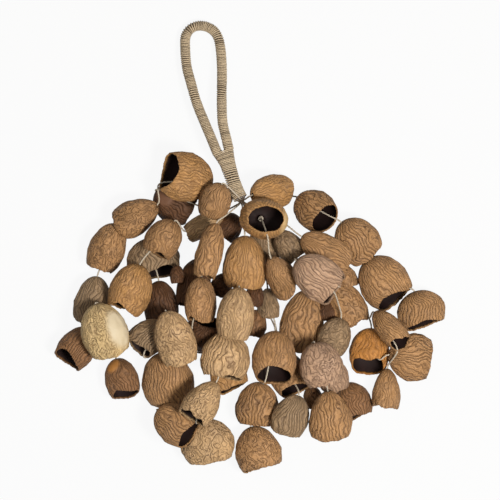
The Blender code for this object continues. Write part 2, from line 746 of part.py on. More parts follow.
def cord_tube(name, path, sizes):
    """One cord as a mesh tube, from a curve with a round bevel."""
    curve = bpy.data.curves.new(name, "CURVE")
    curve.dimensions = "3D"
    curve.bevel_depth = CORD_RADIUS
    curve.bevel_resolution = 2
    curve.use_fill_caps = True
    spline = curve.splines.new("POLY")
    spline.points.add(len(path) - 1)
    for point, place, size in zip(spline.points, path, sizes):
        point.co = (*place, 1.0)
        point.radius = size
    guide = bpy.data.objects.new(name, curve)
    bpy.context.collection.objects.link(guide)
    bpy.context.view_layer.update()
    mesh = bpy.data.meshes.new_from_object(guide.evaluated_get(bpy.context.evaluated_depsgraph_get()))
    bpy.data.objects.remove(guide)
    return mesh


def build_cords(places, stations):
    end, side, half_width = stations[-1]
    along = (end - stations[-2][0]).normalized()
    start = end - along * (BUNDLE_LENGTH / 2)
    way = Way(*world_triangles(bpy.data.objects))
    bundle_path = [end - along * BUNDLE_LENGTH, end, end + along * BUNDLE_REACH]
    wide, high = half_width - NECK_WALL - 2 * GAP, CORE_RADIUS
    narrow = (wide * BUNDLE_TAPER, high * BUNDLE_TAPER)
    bundle = solid_rod(bundle_path, [(wide, high), (wide, high), narrow], CORE_SIDES)
    cords = add_object("cords", *bundle, CORD_COLOUR, 0.9)
    strands = bpy.data.collections.new("strands")
    for cord, path, sizes in cord_routes(places, way, start, along):
        mesh = cord_tube("cord_" + cord.letter, path, sizes)
        strands.objects.link(bpy.data.objects.new("cord_" + cord.letter, mesh))
    bpy.context.scene.collection.children.link(strands)
    union = cords.modifiers.new("join", "BOOLEAN")
    union.operation = "UNION"
    union.operand_type = "COLLECTION"
    union.collection = strands
    union.solver = "EXACT"
    union.use_self = True
    bpy.context.view_layer.update()
    joined = bpy.data.meshes.new_from_object(cords.evaluated_get(bpy.context.evaluated_depsgraph_get()))
    cords.modifiers.clear()
    cords.data = joined
    for strand in list(strands.objects):
        bpy.data.objects.remove(strand)
    bpy.data.collections.remove(strands)
    return cords


def world_triangles(items):
    """Points and triangles of some objects, where they stand."""
    points, faces = [], []
    for item in items:
        item.data.calc_loop_triangles()
        first = len(points)
        points.extend(item.matrix_world @ vertex.co for vertex in item.data.vertices)
        faces.extend(tuple(index + first for index in face.vertices) for face in item.data.loop_triangles)
    return points, faces


def centre_on_origin():
    """Put the middle of the part's outline on the origin, the surface staying at height nought."""
    items = [item for item in bpy.data.objects if item.name != "cords"]
    corners = [item.matrix_world @ vertex.co for item in items for vertex in item.data.vertices]
    middle = [(min(c[axis] for c in corners) + max(c[axis] for c in corners)) / 2 for axis in (0, 1)]
    shift = Matrix.Translation((-middle[0], -middle[1], 0.0))
    for item in bpy.data.objects:
        item.matrix_world = shift @ item.matrix_world


def main():
    clear_scene()
    stations = build_handle()
    places = stack_shells()
    for shell in SHELLS:
        mesh = shell_mesh(shell)
        add_object("nutshell_" + shell.name, *mesh, TONES[shell.tone], 0.7, places[shell.name])
    bpy.context.view_layer.update()
    build_cords(places, stations)
    bpy.context.view_layer.update()
    centre_on_origin()


main()
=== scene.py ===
"""Nutshell shaker seen from straight above, lying on a pale floor as it was put down.

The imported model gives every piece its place. This scene winds the twine round the handle, lays
each cord through its shells, and gives each shell its torn mouth, its furrows and its finish.
"""

import heapq
import math
from collections import namedtuple
from functools import lru_cache

import bpy
import numpy as np
from bpy.props import FloatProperty, FloatVectorProperty, PointerProperty
from mathutils import Matrix, Vector, noise
from mathutils.bvhtree import BVHTree


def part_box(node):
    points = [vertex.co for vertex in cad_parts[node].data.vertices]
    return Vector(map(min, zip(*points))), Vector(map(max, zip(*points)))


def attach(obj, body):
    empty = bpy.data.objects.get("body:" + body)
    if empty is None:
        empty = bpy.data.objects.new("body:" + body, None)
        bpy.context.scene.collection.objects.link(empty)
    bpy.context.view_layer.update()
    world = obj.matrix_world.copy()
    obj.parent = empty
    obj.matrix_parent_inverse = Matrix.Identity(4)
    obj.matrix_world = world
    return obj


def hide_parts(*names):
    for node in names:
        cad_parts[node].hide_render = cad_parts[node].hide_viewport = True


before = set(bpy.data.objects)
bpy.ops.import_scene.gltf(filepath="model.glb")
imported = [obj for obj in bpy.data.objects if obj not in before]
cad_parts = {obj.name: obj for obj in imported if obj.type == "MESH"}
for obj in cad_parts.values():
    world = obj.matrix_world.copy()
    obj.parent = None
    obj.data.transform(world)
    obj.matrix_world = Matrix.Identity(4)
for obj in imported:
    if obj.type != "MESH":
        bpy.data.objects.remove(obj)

bl_info = {
    "name": "Nutshell shaker",
    "version": (1, 0, 0),
    "blender": (4, 5, 0),
    "location": "3D View > Sidebar > Shaker",
    "description": "Winds the handle, lays the cords and finishes the nutshells of a hand shaker",
    "category": "Mesh",
}

MM = 0.001
BODY = "root"

# A nutshell: its length from crown to mouth, its width and its depth in millimetres, the slant of
# its mouth in degrees, its tone, the lines on its skin and how much it widens towards its mouth
Shell = namedtuple("Shell", "name length width depth slant tone skin taper", defaults=(0.0,))

SHELLS = [Shell(*row) for row in (
    ("a1", 43.1, 45.7, 34, 9, "honey", "veined"),
    ("a2", 38.7, 32.5, 30, -5, "tan", "netted", 0.2),
    ("a3", 41.3, 33.4, 30, -5, "tan", "netted"),
    ("a4", 40.5, 34.3, 24, -5, "grey", "lined", 0.1),
    ("a5", 37, 33.4, 30, 8, "brown", "lined", 0.1),
    ("b1", 37.8, 20.2, 30, 3, "pale", "lined", 0.1),
    ("b2", 33.4, 32.5, 28, 3, "tan", "veined"),
    ("b3", 43.1, 38.7, 32, 2, "honey", "veined"),
    ("b4", 45.7, 42.2, 34, -5, "cream", "netted"),
    ("b5", 34.3, 30.8, 24, 9, "brown", "lined"),
    ("c1", 29.9, 29, 28, -5, "tan", "lined"),
    ("c2", 35.1, 38.7, 24, -5, "dark", "lined"),
    ("c3", 35.1, 49.2, 24, 8, "grey", "lined"),
    ("c4", 40.5, 31.6, 24, -5, "dark", "lined"),
    ("c5", 47.5, 36.1, 32, -5, "pale", "netted"),
    ("c6", 37, 37, 24, 10, "tan", "lined"),
    ("d1", 47.5, 24.6, 26, 0, "tan", "furrowed"),
    ("d2", 44, 31.6, 24, -5, "dark", "lined"),
    ("d3", 39.6, 29, 28, 0, "tan", "veined"),
    ("d4", 31.6, 38.7, 24, 0, "dark", "lined"),
    ("d5", 31.6, 33.4, 24, 8, "honey", "smooth", 0.1),
    ("e1", 44, 40.5, 34, -5, "honey", "smooth", 0.1),
    ("e2", 44.8, 33.4, 32, 0, "pale", "veined"),
    ("e3", 40.5, 44.8, 32, -5, "pale", "furrowed"),
    ("e4", 37.8, 31.6, 30, 5, "pale", "netted", 0.2),
    ("e5", 37.8, 49.2, 32, -5, "pale", "netted"),
    ("g1", 33.4, 31.6, 24, 14, "grey", "lined", 0.1),
    ("g2", 45.7, 47.5, 34, -5, "tan", "lined"),
    ("h1", 31.6, 36.1, 44, 0, "honey", "smooth"),
    ("h2", 40.5, 28.1, 28, 6, "tan", "veined", 0.2),
    ("h3", 52.7, 39.6, 24, -5, "tan", "furrowed"),
    ("h4", 37, 39.6, 30, -5, "pink", "netted"),
    ("h5", 40.5, 41.3, 34, -5, "tan", "furrowed", 0.2),
    ("j1", 29.9, 35.1, 24, -5, "grey", "smooth", 0.1),
    ("j2", 26.4, 20.2, 22, 0, "grey", "lined", 0.2),
    ("j3", 42.2, 40.5, 34, 16, "tan", "veined"),
    ("j4", 36.1, 39.6, 32, -5, "tan", "furrowed", 0.1),
    ("j5", 38.7, 42.2, 34, 3, "tan", "netted", 0.1),
    ("k1", 44, 31.6, 24, -5, "honey", "smooth"),
    ("k2", 38.7, 37, 32, 7, "tan", "furrowed"),
    ("k3", 38.7, 40.5, 34, -5, "tan", "furrowed"),
    ("k4", 44, 45.7, 34, 10, "tan", "lined"),
    ("k5", 31.6, 44.8, 30, 7, "tan", "lined"),
    ("l1", 45.7, 29.9, 24, -5, "tan", "lined"),
    ("l2", 37, 37, 24, 18, "rust", "smooth"),
    ("l3", 37, 44, 30, -5, "tan", "furrowed", 0.1),
    ("m1", 29.9, 24.6, 24, 0, "grey", "veined", 0.1),
    ("m2", 44, 39.6, 34, 11, "pink", "furrowed"),
    ("m3", 42.2, 36.1, 24, 0, "tan", "netted"),
    ("m4", 38.7, 23.7, 26, 4, "tan", "lined"),
    ("m5", 35.1, 25.5, 28, 0, "tan", "smooth", 0.2),
    ("n1", 31.6, 29.9, 24, 0, "grey", "netted"),
    ("n2", 29.9, 29, 26, -5, "pink", "smooth"),
    ("n3", 31.6, 33.4, 24, 6, "brown", "lined"),
    ("q1", 37, 37, 24, 6, "tan", "veined"),
    ("q2", 35.1, 33.4, 24, -5, "grey", "lined", 0.1),
)]

# Bites out of a mouth's edge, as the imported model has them: the side of the shell from its top
# round to its left, how wide the bite is and how deep it runs towards the crown, in degrees
BITES = {
    "b2": (20, 25, 12),
    "d3": (-40, 30, 18),
    "h2": (50, 35, 22),
    "l2": (30, 25, 14),
    "m5": (-50, 35, 16),
    "m2": (70, 30, 10),
}

# Shallower bites that are only drawn; a lip that stands out has a depth less than 0
SMALL_BITES = {
    "a1": ((10, 45, 12),),
    "a5": ((-20, 45, 16), (60, 20, 6)),
    "b3": ((-15, 40, 10),),
    "b5": ((-30, 40, 16),),
    "c3": ((20, 50, 14), (-40, 20, 6)),
    "c5": ((-50, 30, 10),),
    "e4": ((30, 20, 10), (-20, 16, 7)),
    "e5": ((20, 45, 8),),
    "g1": ((35, 40, 16),),
    "h1": ((90, 55, -9), (-90, 55, -9)),
    "j3": ((0, 60, 8),),
    "j5": ((-10, 50, 10),),
    "k1": ((-40, 45, 8),),
    "k3": ((30, 30, 6),),
    "k4": ((-25, 40, 10),),
    "k5": ((0, 55, 8),),
    "l2": ((-45, 25, 10),),
    "l3": ((0, 50, 8),),
    "m4": ((-30, 40, 14),),
}

# A worn patch on a shell's skin: how far it is from the crown, its side as above, and its reach,
# in degrees
WORN = {
    "b4": (85, 50, 44),
    "b5": (35, -30, 30),
    "h1": (95, 0, 50),
    "c2": (50, 0, 30),
}

# Small level shells low in the heap, which the imported model doesn't have: the form of each, the
# place of its middle in millimetres and the heading of its mouth in degrees. Most are dark and fill
# gaps between the others: shells further down, whose dark tone also paints the shade in those gaps
TUCKED = (
    (("neck_side", 26, 24, 22, 0, "brown", "lined"), -28, 42.9, 18, 190),
    (("heart", 24, 24, 22, 0, "dark", "lined"), -18.3, 18.2, 12, -120),
    (("right_side", 24, 22, 20, 0, "tan", "veined"), 82.9, -26.7, 12, -60),
    (("low_right", 22, 22, 20, 0, "dark", "lined"), 68.8, -54.8, 12, -90),
    (("low_middle", 24, 22, 20, 0, "brown", "lined"), 4.5, -68, 12, -100),
    (("low_heart", 21, 20, 18, 0, "dark", "lined"), -25, -34, 12, -110),
    (("middle", 20, 17, 15, 0, "dark", "lined"), 4, -42.8, 25, -95),
    (("west", 16, 13, 12, 0, "dark", "lined"), -64.4, -24.4, 28, -90),
    (("low_east", 20, 18, 16, 0, "brown", "lined"), 55.5, -133.5, 12, -80),
)

# The form of a shell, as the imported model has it
SHELL_WALL = 2.0 * MM
MOUTH_ANGLE = math.radians(128.0)
MOUTH_WAVE = math.radians(3.0)
HOLE_RADIUS = 1.6 * MM
PACKED_SIDES = 12
PACKED_OUTER_BANDS = 4
PACKED_INNER_BANDS = 3

# Two points of a packed shell nearer than this are on a rim of its hole, and its form is found
# when no point of it is further off than the second
RIM_SPACING = 0.9 * MM
FORM_TOLERANCE = 0.05 * MM

# How ragged a torn mouth is: how fine each roughness is, and how far it moves the edge in radians
TORN = ((1.6, 0.07), (5.0, 0.035), (14.0, 0.018))

# Lumps in a shell, and how its ridges wander: how fine each is, what its noise starts from and
# how strong it is
LUMPS = ((1.1, 0, 0.09), (2.4, 40, 0.05))
WANDERING = ((1.2, 80, 2.0), (2.8, 120, 0.6))

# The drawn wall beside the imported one's, how much it varies, how far a cut edge bulges in
# radians, and the share of a worn patch's reach over which it fades
WALL_SHARE = 0.86
WALL_VARIETY = 0.14
EDGE_BULGE = 0.03
WORN_FADE = 0.35

# How finely a shell is drawn: steps round it, and from the hole along its outside, over its cut
# edge and back along its inside
AROUND = 144
OUTSIDE = 36
EDGE = 4
INSIDE = 12

# A skin: how far apart its ridges stand and how deep the furrows between them are, both in
# millimetres, how far the ridges wander, in ridges, how much they join into a net, and how dark
# the painted shade in the furrows is
Skin = namedtuple("Skin", "pitch depth wander net darkness")

SKINS = {
    "smooth": Skin(3.7, 0.14, 0.9, 0.30, 0.50),
    "lined": Skin(3.0, 0.26, 1.0, 0.15, 0.85),
    "veined": Skin(3.7, 0.40, 1.2, 0.40, 0.90),
    "netted": Skin(4.0, 0.36, 1.5, 0.85, 0.90),
    "furrowed": Skin(4.2, 0.60, 1.0, 0.12, 1.00),
}

# Colour of the ridges, of the furrows, which paints the shade in them, and of the worn patches of
# each tone of shell
TONES = {
    "cream": ((0.66, 0.46, 0.215), (0.27, 0.14, 0.045), (0.60, 0.50, 0.34)),
    "pale": ((0.56, 0.350, 0.170), (0.13, 0.062, 0.024), (0.60, 0.47, 0.30)),
    "tan": ((0.42, 0.222, 0.090), (0.080, 0.034, 0.012), (0.50, 0.35, 0.20)),
    "honey": ((0.48, 0.248, 0.086), (0.13, 0.054, 0.017), (0.56, 0.38, 0.18)),
    "brown": ((0.27, 0.130, 0.052), (0.060, 0.026, 0.011), (0.46, 0.20, 0.05)),
    "dark": ((0.120, 0.050, 0.018), (0.026, 0.010, 0.004), (0.16, 0.075, 0.040)),
    "grey": ((0.33, 0.212, 0.112), (0.070, 0.037, 0.018), (0.44, 0.35, 0.24)),
    "pink": ((0.48, 0.295, 0.180), (0.11, 0.054, 0.032), (0.56, 0.42, 0.30)),
    "rust": ((0.48, 0.200, 0.042), (0.14, 0.052, 0.012), (0.58, 0.30, 0.08)),
}

# The handle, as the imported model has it
LOOP_RADIUS = 4.6 * MM
NECK_WIDTH = 12.9 * MM
NECK_HEIGHT = 9.2 * MM
NECK_HEAD_WIDTH = 19.6 * MM
NECK_END_HEIGHT = 34.0 * MM
BUNDLE_LENGTH = 6.5 * MM
BUNDLE_REACH = 2.0 * MM
GAP = 0.3 * MM
LOOP_POINTS = (
    (-38.7, 101.2), (-43.5, 112.6), (-50.2, 129.4), (-55.4, 147.8), (-59.0, 161.9),
    (-60.3, 178.6), (-59.8, 188.6), (-55.2, 195.4), (-47.0, 197.9), (-37.9, 195.4),
    (-31.7, 188.6), (-28.8, 176.4), (-27.6, 156.6), (-27.8, 132.9), (-27.0, 111.8),
    (-23.9, 97.7),
)
NECK_POINTS = ((-26.1, 84.5), (-24.2, 79.5), (-22.0, 73.0), (-17.8, 59.8), (-14.7, 51.2), (-11.2, 44.0))
NECK_FLARE = (1.0, 0.5, 0.15, 0.0, 0.0, 0.0)
LEG_HALF_SPACING = 5.3 * MM

# How much further the neck's twine starts than its first point, as a share of the first stretch
NECK_LEAD = 0.25

# Twine of the whipping: its sides, its steps to a turn and the shade of its gaps, how far a turn
# strays, as a share of the turns' pitch, how far it stands off, in millimetres, how much its
# thickness varies, and the steps in which the line under it is read
TWINE_SIDES = 6
TURN_STEPS = 20
TWINE_SHADE = (0.050, 0.028, 0.014)
TURN_STRAY = 0.16
TURN_SLACK = 0.10
THICKNESS_VARIETY = 0.10
LINE_STEP = 0.5 * MM

# The dark lining under the loop's twine, a sleeve that paints the shade in the gaps between its
# turns: how deep it lies, as a share of the twine's thickness, its shade and its sides; and the
# steps between two points of the loop's line and of the neck's
LINING_DEPTH = 0.62
LINING_SHADE = 0.95
LINING_SIDES = 12
LOOP_STEPS = 12
NECK_STEPS = 8

# Where the whipping is loose, how much further apart its turns lie, and how long such stretches are
LOOSENESS = 0.45
LOOSE_STRETCH = 16.0 * MM

# The cords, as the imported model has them, and how their ways are searched for: the size of a
# cell, the room to spare, the most cells tried, the cost of a cell in the open and the rounds of
# pulling a way tight
CORD_RADIUS = 0.75 * MM
KNOT_RADIUS = 2.3 * MM
KNOT_LENGTH = 4.4 * MM
LEAD_IN = 2.5 * MM
ROUTE_STEP = 2.0 * MM
ROUTE_MARGIN = 0.5 * MM
ROUTE_LIMIT = 60000
OPEN_COST = 2.5
STRAIGHTENING_ROUNDS = 40

# How the cords' ends lie in the neck: how many side by side, and their spacing across and up, in
# millimetres
BUNDLE_COLUMNS = 5
BUNDLE_SPACING = (2.05, 2.2)

# A cord: its letter, the shell whose knot it branches from, or None where it leaves the neck, and
# the shells whose stretch before them lies in the open, as the others are tucked under the heap
Cord = namedtuple("Cord", "letter branches_from seen")

CORDS = (
    Cord("a", None, ("a2", "a5")),
    Cord("b", None, ("b1", "b2", "b3", "b5")),
    Cord("c", None, ("c4",)),
    Cord("d", None, ("d1",)),
    Cord("e", None, ("e1", "e2", "e4", "e5")),
    Cord("h", None, ("h2", "h3", "h4", "h5")),
    Cord("j", None, ("j3", "j4", "j5")),
    Cord("k", None, ("k1", "k3", "k4", "k5")),
    Cord("l", None, ()),
    Cord("m", None, ("m2", "m3", "m5")),
    Cord("g", "c4", ()),
    Cord("n", "m2", ()),
    Cord("q", "j2", ("q2",)),
)

# How a cord is drawn: steps along it, sides, the length of one turn of its two plies, how far it
# is softened and held, how far past the neck it is darker and how much, the depth between its
# plies, and its knots' spread and ripple
CORD_STEP = 0.6 * MM
CORD_SIDES = 10
PLY_TURN = 3.2 * MM
SOFTENING_ROUNDS = 60
HELD_REACH = 0.9 * MM
NECK_DARKENING_REACH = 14.0 * MM
NECK_DARKENING_STRENGTH = 0.85
PLY_DEPTH = 0.24
KNOT_SPREAD = 0.62
KNOT_RIPPLE = 0.16
RIPPLE_LENGTH = 0.55 * MM

# The photograph is 500 pixels wide, and one of them is 0.88 mm at the heap's middle height. The
# camera looks straight down at its middle
PICTURE_WIDTH = 500 * 0.88 * MM
PICTURE_MIDDLE = Vector((-0.13 * MM, -3.18 * MM, 30.0 * MM))
CAMERA_DISTANCE = 2.5

# How much of the floor's brightness to the camera is its own, so that it looks white
STAGE_GLOW = 0.92

# The floor lies this much under the shaker, so that no faces meet it
FLOOR_HEIGHT = -0.2 * MM

# Each lamp's place, the side of its square and its colour; both point at the middle of the floor
KEY_LAMP = ((0.50, -0.30, 1.30), 0.30, (1.0, 0.985, 0.96))
FILL_LAMP = ((-0.45, 0.35, 1.35), 0.8, (1.0, 0.99, 0.97))


# Shader nodes

class Value:
    """A node's output that takes part in plain arithmetic."""

    def __init__(self, nodes, socket):
        self.nodes = nodes
        self.socket = socket

    def math(self, operation, first, second):
        return self.nodes.add("ShaderNodeMath", {"operation": operation}, {0: first, 1: second})

    def __add__(self, other):
        return self.math("ADD", self, other)

    __radd__ = __add__

    def __sub__(self, other):
        return self.math("SUBTRACT", self, other)

    def __rsub__(self, other):
        return self.math("SUBTRACT", other, self)

    def __mul__(self, other):
        return self.math("MULTIPLY", self, other)

    __rmul__ = __mul__

    def __abs__(self):
        return self.math("ABSOLUTE", self, 0.0)

    def sine(self):
        return self.math("SINE", self, 0.0)

    def clamped(self):
        return self.nodes.add("ShaderNodeClamp", {}, {"Value": self})

    def rising(self, gain, start):
        """A steeper rise that starts later and stays between 0 and 1."""
        return (self * gain - start).clamped()


class Nodes:
    """The node tree of one material, with its Principled BSDF."""

    def __init__(self, name):
        self.material = bpy.data.materials.new(name)
        self.material.use_nodes = True
        self.tree = self.material.node_tree
        self.surface = self.tree.nodes["Principled BSDF"]

    def feed(self, socket, value):
        if isinstance(value, Value):
            self.tree.links.new(value.socket, socket)
        elif isinstance(value, (tuple, list)) and len(value) == 3 and socket.type == "RGBA":
            socket.default_value = (*value, 1.0)
        else:
            socket.default_value = value

    def add(self, kind, settings, inputs, output=0):
        """Any node: its type, its settings, and the values or links of its sockets."""
        node = self.tree.nodes.new(kind)
        for name, setting in settings.items():
            setattr(node, name, setting)
        for name, value in inputs.items():
            self.feed(node.inputs[name], value)
        return Value(self, node.outputs[output])

    def set(self, name, value):
        self.feed(self.surface.inputs[name], value)

    def mix(self, factor, first, second):
        return self.add("ShaderNodeMix", {"data_type": "RGBA"}, {0: factor, 6: first, 7: second}, 2)

    def attribute(self, name, output="Fac"):
        return self.add("ShaderNodeAttribute", {"attribute_name": name}, {}, output)

    def stretched(self, vector, scale):
        return self.add("ShaderNodeVectorMath", {"operation": "MULTIPLY"}, {0: vector, 1: scale})

    def noise(self, vector, scale, detail=2.0, distortion=0.0):
        inputs = {"Vector": vector, "Scale": scale, "Detail": detail, "Distortion": distortion}
        return self.add("ShaderNodeTexNoise", {}, inputs)

    def bump(self, height, strength, distance):
        inputs = {"Height": height, "Strength": strength, "Distance": distance}
        return self.add("ShaderNodeBump", {}, inputs)

    def finish(self, colour, roughness, specular, normal=None):
        """Set the surface's own sockets and give back the material."""
        self.set("Base Color", colour)
        self.set("Roughness", roughness)
        self.set("Specular IOR Level", specular)
        if normal is not None:
            self.set("Normal", normal)
        return self.material


def nutshell_material(tone, skin_name):
    """Dry nutshell: ridges with a painted highlight on their crests, furrows and pits darkened with
    painted shade, a pale cut edge and a dark glossy inside.
    """
    nodes = Nodes("nutshell_" + tone + "_" + skin_name)
    ridge, furrow, bare = TONES[tone]
    skin = SKINS[skin_name]
    grain = nodes.attribute("grain", "Vector")
    part = nodes.attribute("part")
    worn = nodes.attribute("worn")
    crowded = nodes.attribute("crowded")
    run = nodes.attribute("ridge") + (nodes.noise(grain, 0.15, 1.5, 0.3) - 0.5) * 1.5
    crest = abs((run * math.pi).sine())
    furrows = (1.0 - crest * 1.75).clamped()
    small = abs((run * math.tau + nodes.noise(grain, 0.13, 1.0) * 8.0).sine())
    creases = (1.0 - small * 2.4).clamped()
    contour = nodes.noise(nodes.stretched(grain, (0.8, 1.0, 1.0)), 0.14, 1.0, 0.5)
    curl = abs(((contour * 5.6 + run * 0.45) * math.pi).sine())
    curls = (1.0 - curl * 1.9).clamped()
    netted = (crowded + skin.net).clamped()
    groove = furrows * (1.0 - netted) + curls * netted
    top = crest * (1.0 - netted) + curl * netted
    patches = nodes.noise(grain, 0.085, 3.0, 0.5)
    stains = nodes.noise(grain, 0.04, 2.0, 0.3)
    speckle = nodes.noise(grain, 1.1, 3.0, 0.2)
    cobbles = nodes.noise(nodes.stretched(grain, (0.6, 1.0, 1.0)), 0.36, 2.5, 0.6)
    pits = (2.1 - cobbles * 3.6).clamped() * (1.0 - worn)
    kept = (1.0 - worn) * (0.35 + cobbles.rising(3.0, 1.0) * 0.3 + patches.rising(2.2, 0.75) * 0.4)
    groove = groove * kept
    creases = creases * (1.0 - worn) * (0.4 + pits * 0.5)
    # pale is the ridge colour made lighter, for the painted highlight on the ridges' crests
    pale = tuple(min(1.0, channel * 1.22) for channel in ridge)
    # deep is the ridge colour made darker: for stains, speckle and the cut edge, and as painted shade
    # in the pits
    deep = tuple(channel * 0.56 for channel in ridge)
    grey = tuple(0.75 * channel + 0.25 * sum(ridge) / 3 for channel in ridge)
    colour = nodes.mix(stains.rising(2.6, 0.8), deep, ridge)
    colour = nodes.mix(patches.rising(2.4, 1.0) * 0.6, colour, grey)
    # Painted highlight: the crests of the ridges made lighter
    colour = nodes.mix(top.rising(1.6, 0.75) * 0.6 * (1.0 - worn), colour, pale)
    colour = nodes.mix(speckle.rising(2.0, 0.9) * 0.20, colour, deep)
    # Painted shade in the pits, which the bump also sinks
    colour = nodes.mix(pits * 0.55, colour, deep)
    colour = nodes.mix((worn * 0.9 + (patches - 0.5) * worn * 0.8).clamped(), colour, bare)
    # Painted shade in the creases and the furrows, which the bump also sinks
    colour = nodes.mix(creases * skin.darkness, colour, furrow)
    colour = nodes.mix(groove * skin.darkness, colour, furrow)
    cut = nodes.mix(nodes.noise(grain, 0.5, 2.0), deep, tuple(c * 0.8 for c in ridge))
    lining = nodes.mix(patches, (0.004, 0.002, 0.0015), (0.024, 0.008, 0.006))
    on_cut = (1.0 - abs(part - 1.0) * 1.6).clamped()
    within = ((part - 1.0) * 2.2).clamped()
    colour = nodes.mix(on_cut, colour, cut)
    colour = nodes.mix(within, colour, lining)
    height = (1.0 - groove) + (1.0 - creases) * 0.3 + (1.0 - pits) * 0.55 + speckle * 0.08
    relief = nodes.bump(height * (1.0 - within), 1.0, 0.9 * MM)
    return nodes.finish(colour, 0.62 + within * 0.08, 0.28, relief)


def twine_material(name, pale, dark):
    """Straw twine: each turn has its own shade, with fibres along it and shade in its gaps."""
    nodes = Nodes(name)
    shade = nodes.attribute("shade")
    run = nodes.attribute("run", "Vector")
    fibres = nodes.noise(nodes.stretched(run, (0.25, 1.0, 1.0)), 2.6, 3.0, 0.5)
    lean = nodes.noise(run, 0.35, 2.0)
    colour = nodes.mix(fibres.rising(1.9, 0.5), tuple(c * 0.62 for c in pale), pale)
    colour = nodes.mix(lean.rising(1.6, 0.6) * 0.4, colour, tuple(c * 0.7 for c in pale))
    colour = nodes.mix(shade.clamped(), colour, dark)
    nodes.set("Sheen Weight", 0.15)
    return nodes.finish(colour, 0.82, 0.2, nodes.bump(fibres, 0.5, 0.15 * MM))


def cord_material():
    """Two-ply cord: pale fibres, painted shade between the plies, darker where it leaves the neck."""
    nodes = Nodes("knotted_cord")
    ply = nodes.attribute("ply")
    stain = nodes.attribute("stain")
    run = nodes.attribute("run", "Vector")
    fibres = nodes.noise(run, 2.2, 3.0, 0.5)
    colour = nodes.mix(fibres.rising(1.8, 0.4), (0.36, 0.29, 0.21), (0.66, 0.58, 0.46))
    # Painted shade between the two plies
    colour = nodes.mix((1.0 - ply) * 0.6, colour, (0.14, 0.095, 0.06))
    # Darker for the first stretch past the neck
    colour = nodes.mix(stain, colour, (0.10, 0.045, 0.025))
    return nodes.finish(colour, 0.85, 0.2, nodes.bump(fibres, 0.4, 0.1 * MM))


def core_material():
    """Brown fibre of the rope under the whipping."""
    nodes = Nodes("core_fibre")
    place = nodes.add("ShaderNodeTexCoord", {}, {}, "Object")
    fibres = nodes.noise(place, 900.0, 3.0, 0.4)
    colour = nodes.mix(fibres, (0.035, 0.020, 0.011), (0.13, 0.08, 0.045))
    return nodes.finish(colour, 0.9, 0.5, nodes.bump(fibres, 0.5, 0.2 * MM))


# Pieces

def finish_piece(piece, material, slot, *replaced):
    """Give a piece its material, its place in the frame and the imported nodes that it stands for."""
    piece.data.materials.clear()
    piece.data.materials.append(material)
    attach(piece, BODY)
    if replaced:
        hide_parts(*replaced)
    return piece


def store(mesh, name, values):
    """Keep a number or a vector at each of a mesh's points, for its material."""
    values = np.asarray(values, dtype=np.float32)
    if values.ndim == 1:
        mesh.attributes.new(name, "FLOAT", "POINT").data.foreach_set("value", values)
    else:
        mesh.attributes.new(name, "FLOAT_VECTOR", "POINT").data.foreach_set("vector", values.ravel())


def store_round(mesh, name, ridges, along, warp):
    """Keep a count of ridges round a ring at each corner, so that it has no jump where it closes."""
    corners = np.empty(len(mesh.loops), dtype=np.int64)
    mesh.loops.foreach_get("vertex_index", corners)
    step = (corners // along).reshape(-1, 4)
    closing = step.max(axis=1) - step.min(axis=1) > 1
    step[closing] = np.where(step[closing] == 0, AROUND, step[closing])
    values = ridges * step.reshape(-1) / AROUND + warp[corners]
    mesh.attributes.new(name, "FLOAT", "CORNER").data.foreach_set("value", values.astype(np.float32))


def new_piece(name, add, **form):
    """A mesh of one of the simple forms, whose points are then shaped."""
    bpy.ops.object.select_all(action="DESELECT")
    add(location=(0.0, 0.0, 0.0), **form)
    piece = bpy.context.object
    piece.name = piece.data.name = name
    return piece


def turn_outwards():
    """In edit mode, turn all faces outwards, and leave that mode."""
    bpy.ops.mesh.select_all(action="SELECT")
    bpy.ops.mesh.normals_make_consistent(inside=False)
    bpy.ops.object.mode_set(mode="OBJECT")


def close_tube(piece):
    """Merge the seam of a rolled-up sheet, close its two ends and turn its faces outwards."""
    bpy.ops.object.mode_set(mode="EDIT")
    bpy.ops.mesh.select_all(action="SELECT")
    bpy.ops.mesh.remove_doubles(threshold=0.000001)
    bpy.ops.mesh.select_all(action="DESELECT")
    bpy.ops.mesh.select_mode(type="EDGE")
    bpy.ops.mesh.select_non_manifold()
    bpy.ops.mesh.edge_face_add()
    turn_outwards()
    bpy.ops.object.shade_smooth()
    return piece


def unit(vectors):
    return vectors / np.linalg.norm(vectors, axis=-1, keepdims=True)


def frames_along(path):
    """The direction, the level side and the upper side of a path at each of its points."""
    along = unit(np.gradient(path, axis=0))
    side = unit(np.cross(along, (0.0, 0.0, 1.0)) + np.array((1e-9, 0.0, 0.0)))
    return along, side, np.cross(side, along)


def carried_frames(path):
    """Like frames_along, but turned as little as possible from one point to the next."""
    along = unit(np.gradient(path, axis=0))
    side = np.zeros_like(along)
    first = np.cross(along[0], (0.0, 0.0, 1.0))
    if np.linalg.norm(first) < 0.1:
        first = np.cross(along[0], (1.0, 0.0, 0.0))
    side[0] = first / np.linalg.norm(first)
    for index in range(1, len(path)):
        carried = side[index - 1] - along[index] * side[index - 1].dot(along[index])
        side[index] = carried / np.linalg.norm(carried)
    return along, side, np.cross(side, along)


def travelled(path):
    """How far along a path each of its points lies."""
    return np.concatenate(([0.0], np.cumsum(np.linalg.norm(np.diff(path, axis=0), axis=1))))


def between(places, run, vectors):
    """Vectors at some places of a run, read between the ones that are known along it."""
    return np.stack([np.interp(places, run, vectors[:, axis]) for axis in range(3)], axis=1)


def spaced(path, step):
    """Points at even steps along a path, how far along they lie, and how far the path's own do."""
    path = np.asarray(path, dtype=float)
    run = travelled(path)
    places = np.linspace(0.0, run[-1], max(2, round(run[-1] / step) + 1))
    return between(places, run, path), places, run


